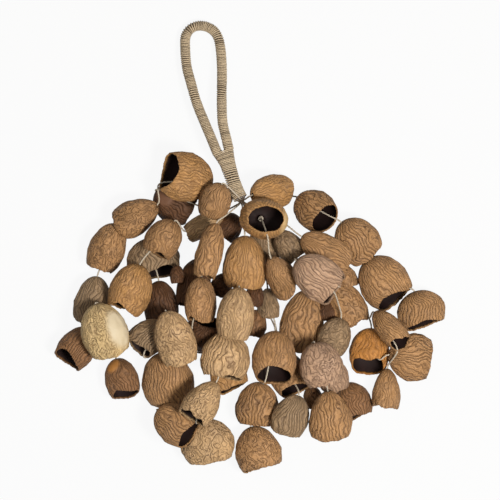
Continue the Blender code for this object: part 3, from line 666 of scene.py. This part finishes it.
def smooth_curve(points, steps):
    """Points of a smooth curve through the given points, with that many steps between each two."""
    ends = np.array([2 * points[0] - points[1], *points, 2 * points[-1] - points[-2]])
    curve = []
    for index in range(1, len(ends) - 2):
        before, start, end, after = ends[index - 1:index + 3]
        for step in range(steps):
            t = step / steps
            curve.append(0.5 * (
                2.0 * start
                + (end - before) * t
                + (2.0 * before - 5.0 * start + 4.0 * end - after) * t * t
                + (3.0 * start - 3.0 * end + after - before) * t * t * t
            ))
    curve.append(ends[-2])
    return np.array(curve)


def swept_tube(name, path, radii, sides, twist=None, plies=0.0):
    """A closed round tube along a path, with its radius at each point, and two plies if twisted."""
    rings = len(path)
    add = bpy.ops.mesh.primitive_grid_add
    piece = new_piece(name, add, x_subdivisions=sides, y_subdivisions=rings - 1)
    along, side, up = carried_frames(path)
    turn = np.linspace(0.0, math.tau, sides + 1)
    angles = np.tile(turn, (rings, 1))
    lobes = np.ones_like(angles)
    if twist is not None:
        lobes = np.abs(np.cos(angles - twist[:, None])) ** 0.7
    reach = radii[:, None] * (1.0 - plies + plies * lobes)
    points = (
        path[:, None, :]
        + side[:, None, :] * (reach * np.cos(angles))[:, :, None]
        + up[:, None, :] * (reach * np.sin(angles))[:, :, None]
    )
    piece.data.vertices.foreach_set("co", points.reshape(-1))
    return piece, lobes.reshape(-1), np.repeat(np.arange(rings), sides + 1)


# The handle

LOOP_TOP_Y = max(y for x, y in LOOP_POINTS) * MM
NECK_END_Y = NECK_POINTS[-1][1] * MM
HANDLE_SLOPE = (NECK_END_HEIGHT - LOOP_RADIUS) / (LOOP_TOP_Y - NECK_END_Y)


def plan_shift():
    """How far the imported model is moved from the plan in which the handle's points are written."""
    low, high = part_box("loop_whipping")
    left = min(x for x, y in LOOP_POINTS) * MM - LOOP_RADIUS
    return np.array((low.x - left, high.y - (LOOP_TOP_Y + LOOP_RADIUS), 0.0))


def on_handle(x, y):
    """A point of the handle's sloping middle plane, which lifts off the surface towards the neck."""
    return np.array((x, y, LOOP_RADIUS + (LOOP_TOP_Y - y) * HANDLE_SLOPE))


def neck_line():
    return np.array([on_handle(x * MM, y * MM) for x, y in NECK_POINTS])


def loop_line():
    """Middle of the rope from the neck's head round the loop and back."""
    middles = neck_line()
    head, across = middles[0], frames_along(middles)[1][0]
    loop = [on_handle(x * MM, y * MM) for x, y in LOOP_POINTS]
    points = [head + across * LEG_HALF_SPACING, *loop, head - across * LEG_HALF_SPACING]
    if np.linalg.norm(points[0] - points[1]) > np.linalg.norm(points[-1] - points[1]):
        points[0], points[-1] = points[-1], points[0]
    return smooth_curve(points, LOOP_STEPS)


def wander(places, seed, row):
    """Smooth noise at some places of a line, from -1 to 1."""
    return np.array([noise.noise(Vector((place, seed, row))) for place in places])


def wound_twine(name, path, half_widths, half_heights, settings, seed):
    """Twine wound round a path, close here and looser there: one long closed tube."""
    radius = settings.twine_diameter / 2
    line, places, run = spaced(path, LINE_STEP)
    side, up = frames_along(line)[1:]
    widths = np.interp(places, run, half_widths) - radius
    heights = np.interp(places, run, half_heights) - radius
    starts = [radius]
    while starts[-1] < places[-1] - 2 * radius:
        loose = min(1.0, max(0.0, wander([starts[-1] / LOOSE_STRETCH], seed, 2.0)[0] * 2.6))
        starts.append(starts[-1] + settings.turn_pitch * (1.0 + LOOSENESS * loose))
    turns = len(starts) - 1
    turn = np.arange(turns * TURN_STEPS + 1) / TURN_STEPS
    uneven = wander(turn * 0.9, seed, 0.0)
    slack = wander(turn * 2.3, seed, 5.0)
    place = np.interp(turn, np.arange(turns + 1), starts) + uneven * settings.turn_pitch * TURN_STRAY
    angle = math.tau * turn
    flat = np.clip(np.interp(place, places, widths / heights), 1.0, 2.0)
    # Where the two legs lie side by side, a turn is a rounded box rather than an ellipse
    power = 1.0 - 0.35 * (flat - 1.0)
    cosine, sine = np.cos(angle), np.sin(angle)
    across = np.sign(cosine) * np.abs(cosine) ** power
    height = np.sign(sine) * np.abs(sine) ** power
    width_here = np.interp(place, places, widths) + slack * TURN_SLACK * MM
    height_here = np.interp(place, places, heights) + slack * TURN_SLACK * MM
    centre, sideways, upwards = (between(place, places, vectors) for vectors in (line, side, up))
    twine = centre + sideways * (across * width_here)[:, None]
    twine = twine + upwards * (height * height_here)[:, None]
    radii = radius * (1.0 + THICKNESS_VARIETY * slack)
    piece, lobes, ring = swept_tube(name, twine, radii, TWINE_SIDES)
    whole = np.floor(turn).astype(int)
    tones = wander(np.arange(turns + 2) * 1.7, seed, 9.0)
    travel = travelled(twine) / MM
    store(piece.data, "shade", np.clip(tones[whole] * 0.7 + 0.08, 0.0, 0.45)[ring])
    store(piece.data, "run", np.stack([travel[ring], uneven[ring] * 4.0, np.zeros(len(ring))], axis=1))
    return close_tube(piece)


def build_core():
    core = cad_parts["handle_core"]
    core.data.materials.clear()
    core.data.materials.append(core_material())


def build_whipping(settings):
    shift = plan_shift()
    loop = loop_line() + shift
    straw = twine_material("straw_twine", tuple(settings.twine_colour), TWINE_SHADE)
    # A dark sleeve under the loop's twine: painted shade that shows in the gaps between its turns
    radii = np.full(len(loop), LOOP_RADIUS - settings.twine_diameter * LINING_DEPTH)
    lining, lobes, ring = swept_tube("loop_lining", loop, radii, LINING_SIDES)
    store(lining.data, "shade", np.full(len(ring), LINING_SHADE))
    store(lining.data, "run", np.stack([ring * 1.0, lobes, lobes], axis=1))
    close_tube(lining)
    finish_piece(lining, straw, "whipping_twine", "loop_whipping")
    round_loop = np.full(len(loop), LOOP_RADIUS)
    twine = wound_twine("loop_twine", loop, round_loop, round_loop, settings, seed=3.0)
    finish_piece(twine, straw, "whipping_twine", "loop_whipping")
    neck = neck_line() + shift
    neck[0] = neck[0] + (neck[0] - neck[1]) * NECK_LEAD
    line = smooth_curve(neck, NECK_STEPS)
    half_widths = [(NECK_WIDTH + (NECK_HEAD_WIDTH - NECK_WIDTH) * flare) / 2 for flare in NECK_FLARE]
    share = np.linspace(0, len(half_widths) - 1, len(line))
    half_widths = np.interp(share, np.arange(len(half_widths)), half_widths)
    half_heights = np.full(len(line), NECK_HEIGHT / 2)
    twine = wound_twine("neck_twine", line, half_widths, half_heights, settings, seed=8.0)
    finish_piece(twine, straw, "whipping_twine", "neck_whipping")


# The shells

def half_axes(shell, inset):
    """Half length, half width and half depth of the egg that a shell is cut from."""
    length = shell.length * MM / (1.0 - math.cos(MOUTH_ANGLE))
    return length - inset, shell.width * MM / 2 - inset, shell.depth * MM / 2 - inset


def bite_depth(azimuth, bite):
    """How far a bite cuts an edge back at each angle round the mouth."""
    side, width, depth = (math.radians(value) for value in bite)
    turn = np.remainder(azimuth - side + math.pi, math.tau) - math.pi
    return depth * np.exp(-(turn / width) ** 2)


def mouth_edge(shell, azimuth):
    """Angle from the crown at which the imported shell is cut, round its mouth."""
    edge = MOUTH_ANGLE - math.radians(shell.slant) * np.cos(azimuth)
    edge = edge + MOUTH_WAVE * np.sin(2.0 * azimuth + shell.length)
    if shell.name in BITES:
        edge = edge - bite_depth(azimuth, BITES[shell.name])
    return edge


def torn_edge(shell, azimuth, circle, seed):
    """The same with its small bites and its ragged line."""
    edge = mouth_edge(shell, azimuth)
    for bite in SMALL_BITES.get(shell.name, ()):
        edge = edge - bite_depth(azimuth, bite)
    for scale, reach in TORN:
        edge = edge + rough(circle, scale, seed) * reach
    return edge


def shell_points(shell, polar, azimuth, inset, swelling=1.0):
    """Points of a shell in its own frame: crown at -X, mouth at +X, upper lip at +Z."""
    whole = half_axes(shell, 0.0)[0]
    length, width, depth = half_axes(shell, inset)
    x = -length * np.cos(polar)
    swell = np.sin(polar) * (1.0 + shell.taper * x / whole) * swelling
    middle = -whole * (1.0 + math.cos(MOUTH_ANGLE)) / 2
    y, z = width * swell * np.sin(azimuth), depth * swell * np.cos(azimuth)
    return np.stack([x - middle, y, z], axis=-1)


def hole_ring(shell, azimuth, inset):
    length, width, depth = half_axes(shell, inset)
    polar = math.asin(HOLE_RADIUS / min(width, depth))
    points = shell_points(shell, np.full_like(azimuth, polar), azimuth, inset)
    points[:, 1] = HOLE_RADIUS * np.sin(azimuth)
    points[:, 2] = HOLE_RADIUS * np.cos(azimuth)
    return points


def packed_form(shell):
    """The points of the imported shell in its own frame, ring by ring."""
    azimuth = math.tau * np.arange(PACKED_SIDES) / PACKED_SIDES
    edge = mouth_edge(shell, azimuth)
    rings = [hole_ring(shell, azimuth, 0.0)]
    for band in range(1, PACKED_OUTER_BANDS + 1):
        rings.append(shell_points(shell, edge * band / PACKED_OUTER_BANDS, azimuth, 0.0))
    for band in range(PACKED_INNER_BANDS, 0, -1):
        rings.append(shell_points(shell, edge * band / PACKED_INNER_BANDS, azimuth, SHELL_WALL))
    rings.append(hole_ring(shell, azimuth, SHELL_WALL))
    return np.concatenate(rings)


def packed_place(shell):
    """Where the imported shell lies, found from the rim of the hole in its crown."""
    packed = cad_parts["nutshell_" + shell.name]
    points = np.array([vertex.co for vertex in packed.data.vertices])
    points = np.unique(np.round(points, 6), axis=0)
    apart = np.linalg.norm(points[:, None] - points[None], axis=2)
    np.fill_diagonal(apart, 1.0)
    rim = points[apart.min(axis=1) < RIM_SPACING]
    if len(rim) != 2 * PACKED_SIDES:
        raise RuntimeError(f"nutshell_{shell.name}: the hole's two rims have {len(rim)} points")
    inwards = unit(points.mean(axis=0) - rim.mean(axis=0))
    rim = rim[np.argsort(rim @ inwards)]
    outer, inner = rim[:PACKED_SIDES], rim[PACKED_SIDES:]
    centre = outer.mean(axis=0)
    axis = np.linalg.svd(outer - centre)[2][2]
    axis = axis * math.copysign(1.0, float(axis @ inwards))
    form = packed_form(shell)
    best = None
    for point in outer:
        up = unit(point - centre)
        turn = np.stack([axis, np.cross(up, axis), up], axis=1)
        place = centre - turn @ np.array((form[0, 0], 0.0, 0.0))
        miss = np.linalg.norm((form @ turn.T + place)[:, None] - points[None], axis=2).min(axis=1).max()
        if best is None or miss < best[0]:
            best = (miss, turn, place)
    if best[0] > FORM_TOLERANCE:
        miss = best[0] / MM
        raise RuntimeError(f"nutshell_{shell.name} isn't the packed shell's form, by {miss:.2f} mm")
    matrix = Matrix(best[1].tolist()).to_4x4()
    matrix.translation = Vector(best[2])
    return matrix


def rough(points, scale, seed):
    """Smooth noise at each of some points, from -1 to 1."""
    return np.array([noise.noise(Vector(point) * scale + Vector((seed, 0.0, 0.0))) for point in points])


def worn_share(shell, polar, azimuth):
    """How worn the skin is at each point, from 0 to 1."""
    if shell.name not in WORN:
        return np.zeros_like(polar)
    middle, side, reach = (math.radians(value) for value in WORN[shell.name])
    across = np.sin(polar) * np.sin(middle) * np.cos(azimuth - side) + np.cos(polar) * np.cos(middle)
    away = np.arccos(np.clip(across, -1.0, 1.0))
    return np.clip((reach - away) / (reach * WORN_FADE), 0.0, 1.0)


def build_nutshell(shell, place, index):
    """A shell at its place, with furrows, a torn mouth and a drilled crown.

    Its points run from the hole's rim along the outside, over the cut edge and back along the
    inside. The skin is smoother towards the crown and the hole, where ridges would crowd.
    """
    skin = SKINS[shell.skin]
    along = OUTSIDE + EDGE + INSIDE
    add = bpy.ops.mesh.primitive_torus_add
    piece = new_piece("shell_" + shell.name, add, major_segments=AROUND, minor_segments=along)
    bpy.ops.object.shade_smooth()
    turn = math.tau * (np.arange(AROUND) / AROUND)
    azimuth = np.repeat(turn, along)
    step = np.tile(np.arange(along), AROUND)
    seed = 7.0 * index + 3.0
    circle = np.stack([np.cos(turn), np.sin(turn), np.zeros(AROUND)], axis=1)
    edge = np.repeat(torn_edge(shell, turn, circle, seed), along)
    start = math.asin(HOLE_RADIUS / (min(shell.width, shell.depth) * MM / 2))
    outside = step <= OUTSIDE
    out_share = np.clip(step / OUTSIDE, 0.0, 1.0)
    over_edge = np.clip((step - OUTSIDE) / EDGE, 0.0, 1.0)
    in_share = np.clip((step - OUTSIDE - EDGE) / (INSIDE - 1), 0.0, 1.0)
    polar = start + (edge - start) * np.where(outside, out_share, 1.0 - in_share)
    polar = polar + EDGE_BULGE * np.sin(math.pi * over_edge)
    sine = np.sin(polar)
    bare = np.stack([-np.cos(polar) * 1.3, sine * np.cos(azimuth), sine * np.sin(azimuth)], axis=1)
    lump = sum(np.abs(rough(bare, scale, seed + shift)) * size for scale, shift, size in LUMPS)
    ridges = round(math.pi * (shell.width + shell.depth) / 2 / skin.pitch)
    warp = sum(
        rough(bare, scale, seed + shift) * skin.wander * size for scale, shift, size in WANDERING
    )
    crest = np.abs(np.sin(math.pi * (ridges * azimuth / math.tau + warp)))
    fade = np.clip(sine * 2.4 - 0.3, 0.0, 1.0)
    worn = worn_share(shell, polar, azimuth)
    furrow = (1.0 - crest ** 0.8) * fade * (1.0 - worn * 0.8)
    wall = SHELL_WALL * (WALL_SHARE + WALL_VARIETY * np.repeat(rough(circle, 1.7, seed + 11), along))
    inset = np.where(outside, skin.depth * MM * furrow, 0.0)
    inset = inset + np.where(outside, 0.0, wall * np.where(step > OUTSIDE + EDGE, 1.0, over_edge))
    swelling = 1.0 - np.where(step <= OUTSIDE + EDGE, lump * fade * (1.0 - over_edge * 0.5), 0.0)
    points = shell_points(shell, polar, azimuth, inset, swelling)
    hole = np.hypot(points[:, 1], points[:, 2]) < HOLE_RADIUS
    points[hole, 1] = HOLE_RADIUS * np.sin(azimuth[hole])
    points[hole, 2] = HOLE_RADIUS * np.cos(azimuth[hole])
    matrix = np.array(place)
    piece.data.vertices.foreach_set("co", (points @ matrix[:3, :3].T + matrix[:3, 3]).ravel())
    half = (shell.width + shell.depth) / 4
    grain = np.stack([points[:, 0] / MM, half * np.cos(azimuth), half * np.sin(azimuth)], axis=1)
    store(piece.data, "grain", grain + np.array((seed * 13.0, seed * 5.0, 0.0)))
    store(piece.data, "part", np.where(outside, 0.0, np.where(step <= OUTSIDE + EDGE, 1.0, 2.0)))
    store(piece.data, "worn", worn)
    store(piece.data, "crowded", 1.0 - fade)
    store_round(piece.data, "ridge", ridges, along, warp)
    bpy.ops.object.mode_set(mode="EDIT")
    turn_outwards()
    return piece


def tucked_place(x, y, z, heading):
    """Where a level shell lies, from its middle and the heading of its mouth."""
    cosine, sine = math.cos(math.radians(heading)), math.sin(math.radians(heading))
    along, left = Vector((cosine, sine, 0.0)), Vector((-sine, cosine, 0.0))
    turn = Matrix((along, left, along.cross(left))).transposed()
    return Matrix.Translation(Vector((x * MM, y * MM, z * MM))) @ turn.to_4x4()


def build_nutshells():
    finishes = {}
    placed = [(shell, packed_place(shell), ["nutshell_" + shell.name]) for shell in SHELLS]
    placed += [(Shell(*form), tucked_place(*place), []) for form, *place in TUCKED]
    for index, (shell, place, replaced) in enumerate(placed):
        key = (shell.tone, shell.skin)
        if key not in finishes:
            finishes[key] = nutshell_material(*key)
        piece = build_nutshell(shell, place, index)
        finish_piece(piece, finishes[key], "nutshell_" + shell.tone, *replaced)


# The cords

STEPS = [
    (i, j, k) for i in (-1, 0, 1) for j in (-1, 0, 1) for k in (-1, 0, 1) if (i, j, k) != (0, 0, 0)
]


class Way:
    """Finds a cord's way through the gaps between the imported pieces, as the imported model's does."""

    def __init__(self):
        points, faces = [], []
        solids = ["handle_core", "loop_whipping", "neck_whipping"]
        solids += ["nutshell_" + shell.name for shell in SHELLS]
        for name in solids:
            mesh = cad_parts[name].data
            mesh.calc_loop_triangles()
            first = len(points)
            points.extend(vertex.co.copy() for vertex in mesh.vertices)
            triangles = mesh.loop_triangles
            faces.extend(tuple(index + first for index in face.vertices) for face in triangles)
        self.tree = BVHTree.FromPolygons(points, faces)

    def clear(self, point, room):
        if point.z < CORD_RADIUS + 2 * GAP:
            return False
        return self.tree.find_nearest(point, room)[0] is None

    def clear_line(self, start, end, room):
        """Whether there is room for the cord all along a straight stretch."""
        steps = max(1, math.ceil((end - start).length / CORD_RADIUS))
        return all(self.clear(start.lerp(end, step / steps), room) for step in range(steps + 1))

    @lru_cache(maxsize=None)
    def open_cell(self, cell):
        return self.clear(Vector(cell) * ROUTE_STEP, CORD_RADIUS + GAP + ROUTE_MARGIN)

    @lru_cache(maxsize=None)
    def under_cover(self, cell):
        up = Vector((0.0, 0.0, 1.0))
        return self.tree.ray_cast(Vector(cell) * ROUTE_STEP, up)[0] is not None

    def nearest_cell(self, point):
        home = [round(value / ROUTE_STEP) for value in point]
        reach = range(-2, 3)
        cells = [(home[0] + i, home[1] + j, home[2] + k) for i in reach for j in reach for k in reach]
        cells.sort(key=lambda cell: (Vector(cell) * ROUTE_STEP - point).length)
        for cell in cells:
            if self.open_cell(cell) and self.clear_line(point, Vector(cell) * ROUTE_STEP, CORD_RADIUS):
                return cell
        return tuple(home)

    def find(self, start, goal, seen):
        """Shortest open way, kept under the heap where it isn't seen."""
        first, last = self.nearest_cell(start), self.nearest_cell(goal)
        aim = Vector(last)
        queue = [(0.0, first)]
        cost = {first: 0.0}
        came = {}
        tried = 0
        while queue and tried < ROUTE_LIMIT:
            cell = heapq.heappop(queue)[1]
            tried += 1
            if cell == last:
                break
            for step in STEPS:
                near = (cell[0] + step[0], cell[1] + step[1], cell[2] + step[2])
                if near != last and not self.open_cell(near):
                    continue
                length = math.sqrt(step[0] ** 2 + step[1] ** 2 + step[2] ** 2)
                if not seen and not self.under_cover(near):
                    length *= OPEN_COST
                total = cost[cell] + length
                if total < cost.get(near, math.inf):
                    cost[near] = total
                    came[near] = cell
                    heapq.heappush(queue, (total + (Vector(near) - aim).length, near))
        if last not in came:
            raise RuntimeError(f"no way for a cord from {tuple(start)} to {tuple(goal)}")
        cells = [last]
        while cells[-1] in came:
            cells.append(came[cells[-1]])
        return [start] + [Vector(cell) * ROUTE_STEP for cell in reversed(cells)] + [goal]

    def straighten(self, path):
        """Pull a way tight, as far as the room round it lets it."""
        room = CORD_RADIUS + GAP
        for _ in range(STRAIGHTENING_ROUNDS):
            for index in range(1, len(path) - 1):
                before, after = path[index - 1], path[index + 1]
                middle = (before + after) / 2
                if self.clear_line(before, middle, room) and self.clear_line(middle, after, room):
                    path[index] = middle
        return path


def crown_stops(shell, place):
    """Points of a cord at a shell's crown: before the hole, then each end and middle of its knot."""
    crown = -half_axes(shell, 0.0)[0] * (1.0 - math.cos(MOUTH_ANGLE)) / 2
    knot = crown + SHELL_WALL + KNOT_LENGTH / 2 + 2 * GAP
    ends = (crown - LEAD_IN, knot - KNOT_LENGTH / 2, knot, knot + KNOT_LENGTH / 2, knot + KNOT_LENGTH)
    stops = [place @ Vector((x, 0.0, 0.0)) for x in ends]
    for stop in stops:
        stop.z = max(stop.z, CORD_RADIUS + GAP)
    return stops


def softened(line, pins):
    """Round the corners of a cord, as a limp one does, but not where it is held."""
    held = np.zeros(len(line), dtype=bool)
    held[[0, -1]] = True
    for pin in pins:
        held |= np.linalg.norm(line - np.array(pin), axis=1) < HELD_REACH
    for _ in range(SOFTENING_ROUNDS):
        eased = (line[:-2] + 2.0 * line[1:-1] + line[2:]) / 4.0
        line[1:-1] = np.where(held[1:-1, None], line[1:-1], eased)
    line[:, 2] = np.maximum(line[:, 2], CORD_RADIUS)
    return spaced(line, CORD_STEP)[0]


def lay_cord(name, line, pins, knots, darkening_reach, material):
    """One cord through its points, thick at its knots, as a two-ply tube."""
    path = softened(spaced(line, CORD_STEP)[0], pins)
    places = travelled(path)
    radii = np.full(len(path), CORD_RADIUS)
    for knot, size in knots:
        away = np.linalg.norm(path - np.array(knot), axis=1)
        lump = np.clip(1.0 - (away / (KNOT_LENGTH * KNOT_SPREAD)) ** 2, 0.0, 1.0) ** 0.5
        ripple = 1.0 + KNOT_RIPPLE * np.sin(places / RIPPLE_LENGTH)
        radii = np.maximum(radii, size * lump * ripple)
    twist = math.tau * places / (2 * PLY_TURN)
    piece, lobes, ring = swept_tube(name, path, radii, CORD_SIDES, twist, PLY_DEPTH)
    store(piece.data, "ply", np.clip(lobes, 0.0, 1.0))
    # Darker for the first stretch past the neck, fading along it
    stain = np.clip(1.0 - places / max(darkening_reach, 1e-6), 0.0, 1.0)
    store(piece.data, "stain", stain[ring] * NECK_DARKENING_STRENGTH)
    store(piece.data, "run", np.stack([places[ring] / MM, lobes, lobes], axis=1))
    close_tube(piece)
    finish_piece(piece, material, "cord", "cords")


def build_cords():
    material = cord_material()
    shells = {shell.name: shell for shell in SHELLS}
    places = {name: packed_place(shell) for name, shell in shells.items()}
    neck = neck_line() + plan_shift()
    along = unit(neck[-1] - neck[-2])
    across, up = (vectors[-1] for vectors in frames_along(neck)[1:])
    middle = Vector(neck[-1] - along * (BUNDLE_LENGTH / 2))
    out = Vector(neck[-1] + along * (BUNDLE_REACH + 2 * LEAD_IN - BUNDLE_LENGTH / 2))
    way = Way()
    from_neck = [cord.letter for cord in CORDS if cord.branches_from is None]
    for cord in CORDS:
        names = sorted(name for name in shells if name[0] == cord.letter)
        if cord.branches_from is None:
            order = from_neck.index(cord.letter)
            column, row = order % BUNDLE_COLUMNS - 2, order // BUNDLE_COLUMNS - 0.5
            aside = across * (column * BUNDLE_SPACING[0] * MM) + up * (row * BUNDLE_SPACING[1] * MM)
            points = [middle + Vector(aside), Vector(neck[-1]) + Vector(aside), out]
            pins = points[:2]
            leave = out
            stain = NECK_DARKENING_REACH
        else:
            stops = crown_stops(shells[cord.branches_from], places[cord.branches_from])
            points, pins = [stops[2]], []
            leave = stops[4]
            stain = 0.0
        knots = []
        for name in names:
            stops = crown_stops(shells[name], places[name])
            points += way.straighten(way.find(leave, stops[0], name in cord.seen))
            points += stops[1:4]
            pins += stops[1:3]
            knots.append((stops[2], min(KNOT_RADIUS, stops[2].z - GAP)))
            leave = stops[4]
        lay_cord("cord_" + cord.letter, points, pins, knots, stain, material)


# The stage

def stage_material(colour):
    """A pale floor that looks white to the camera and still keeps the shaker's soft shadow."""
    nodes = Nodes("pale_paper")
    path = nodes.tree.nodes.new("ShaderNodeLightPath")
    seen = (
        Value(nodes, path.outputs["Is Camera Ray"])
        + Value(nodes, path.outputs["Is Glossy Ray"])
        + Value(nodes, path.outputs["Is Transmission Ray"])
    ).clamped()
    glow = nodes.add("ShaderNodeEmission", {}, {"Color": (1.0, 1.0, 1.0), "Strength": 1.0})
    paper = Value(nodes, nodes.surface.outputs["BSDF"])
    both = nodes.add("ShaderNodeMixShader", {}, {0: seen * STAGE_GLOW, 1: paper, 2: glow})
    output = nodes.tree.nodes["Material Output"]
    nodes.tree.links.new(both.socket, output.inputs["Surface"])
    return nodes.finish(colour, 0.95, 0.1)


def build_stage(settings):
    floor = new_piece("floor", bpy.ops.mesh.primitive_plane_add, size=settings.floor_size)
    floor.location.z = FLOOR_HEIGHT
    floor.data.materials.append(stage_material(tuple(settings.floor_colour)))


def add_lamp(name, power, place, size, colour):
    lamp = bpy.data.lights.new(name, "AREA")
    lamp.shape = "SQUARE"
    lamp.size = size
    lamp.energy = power
    lamp.color = colour
    item = bpy.data.objects.new(name, lamp)
    item.location = place
    item.rotation_euler = (-Vector(place)).to_track_quat("-Z", "Y").to_euler()
    bpy.context.collection.objects.link(item)


def build_light(settings):
    world = bpy.data.worlds.new("studio")
    bpy.context.scene.world = world
    world.use_nodes = True
    sky = world.node_tree.nodes["Background"]
    sky.inputs["Color"].default_value = (1.0, 1.0, 1.0, 1.0)
    sky.inputs["Strength"].default_value = settings.sky_strength
    add_lamp("key", settings.key_power, *KEY_LAMP)
    add_lamp("fill", settings.fill_power, *FILL_LAMP)


def build_camera():
    camera = bpy.data.cameras.new("camera")
    camera.sensor_width = 36.0
    camera.lens = camera.sensor_width * (CAMERA_DISTANCE - PICTURE_MIDDLE.z) / PICTURE_WIDTH
    camera.clip_end = 20.0
    item = bpy.data.objects.new("camera", camera)
    item.location = (PICTURE_MIDDLE.x, PICTURE_MIDDLE.y, CAMERA_DISTANCE)
    bpy.context.collection.objects.link(item)
    bpy.context.scene.camera = item


# The add-on

class ShakerSettings(bpy.types.PropertyGroup):
    """Sizes and colours that a user of the shaker would change."""

    twine_diameter: FloatProperty(
        name="Twine diameter", description="Thickness of the twine wound round the handle",
        default=1.25 * MM, min=0.5 * MM, max=3 * MM, subtype="DISTANCE", unit="LENGTH",
    )
    turn_pitch: FloatProperty(
        name="Turn pitch", description="Distance from one turn of the twine to the next",
        default=1.45 * MM, min=0.6 * MM, max=4 * MM, subtype="DISTANCE", unit="LENGTH",
    )
    twine_colour: FloatVectorProperty(
        name="Twine colour", description="Colour of the straw twine", size=3, subtype="COLOR",
        default=(0.62, 0.48, 0.31), min=0.0, max=1.0,
    )
    floor_size: FloatProperty(
        name="Floor size", description="Side of the square floor",
        default=6.0, min=1.0, max=20.0, subtype="DISTANCE", unit="LENGTH",
    )
    floor_colour: FloatVectorProperty(
        name="Floor colour", description="Colour of the floor", size=3, subtype="COLOR",
        default=(0.50, 0.50, 0.49), min=0.0, max=1.0,
    )
    sky_strength: FloatProperty(
        name="Sky strength", description="Light that comes from all round",
        default=0.17, min=0.0, max=3.0,
    )
    key_power: FloatProperty(
        name="Key lamp", description="Power of the main lamp",
        default=23.0, min=0.0, max=500.0, unit="POWER",
    )
    fill_power: FloatProperty(
        name="Fill lamp", description="Power of the lamp at the other side",
        default=4.0, min=0.0, max=500.0, unit="POWER",
    )


class SHAKER_OT_stage(bpy.types.Operator):
    """Set up the floor, the light and the camera"""

    bl_idname = "shaker.stage"
    bl_label = "Stage"

    def execute(self, context):
        settings = context.scene.shaker
        context.scene.view_settings.view_transform = "Standard"
        build_camera()
        build_stage(settings)
        build_light(settings)
        return {"FINISHED"}


class SHAKER_OT_cords(bpy.types.Operator):
    """Lay the knotted cords through the shells"""

    bl_idname = "shaker.cords"
    bl_label = "Cords"

    def execute(self, context):
        build_cords()
        return {"FINISHED"}


class SHAKER_OT_whipping(bpy.types.Operator):
    """Wind the twine round the loop and the neck"""

    bl_idname = "shaker.whipping"
    bl_label = "Whipping"

    def execute(self, context):
        build_core()
        build_whipping(context.scene.shaker)
        return {"FINISHED"}


class SHAKER_OT_nutshells(bpy.types.Operator):
    """Shape and finish the nutshells"""

    bl_idname = "shaker.nutshells"
    bl_label = "Nutshells"

    def execute(self, context):
        build_nutshells()
        return {"FINISHED"}


class SHAKER_PT_panel(bpy.types.Panel):
    """Lists what the shaker is made of"""

    bl_idname = "SHAKER_PT_panel"
    bl_label = "Nutshell shaker"
    bl_space_type = "VIEW_3D"
    bl_region_type = "UI"
    bl_category = "Shaker"

    def draw(self, context):
        settings = context.scene.shaker
        for name in settings.bl_rna.properties.keys():
            if name not in ("rna_type", "name"):
                self.layout.prop(settings, name)
        for operator in OPERATORS:
            self.layout.operator(operator.bl_idname)


OPERATORS = (SHAKER_OT_stage, SHAKER_OT_cords, SHAKER_OT_whipping, SHAKER_OT_nutshells)
CLASSES = (ShakerSettings, *OPERATORS, SHAKER_PT_panel)


def register():
    for item in CLASSES:
        bpy.utils.register_class(item)
    bpy.types.Scene.shaker = PointerProperty(type=ShakerSettings)


def unregister():
    del bpy.types.Scene.shaker
    for item in reversed(CLASSES):
        bpy.utils.unregister_class(item)


def main():
    register()
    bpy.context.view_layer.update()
    bpy.ops.shaker.stage()
    bpy.ops.shaker.cords()
    bpy.ops.shaker.whipping()
    bpy.ops.shaker.nutshells()
    bpy.context.view_layer.update()


if __name__ == "__main__":
    main()
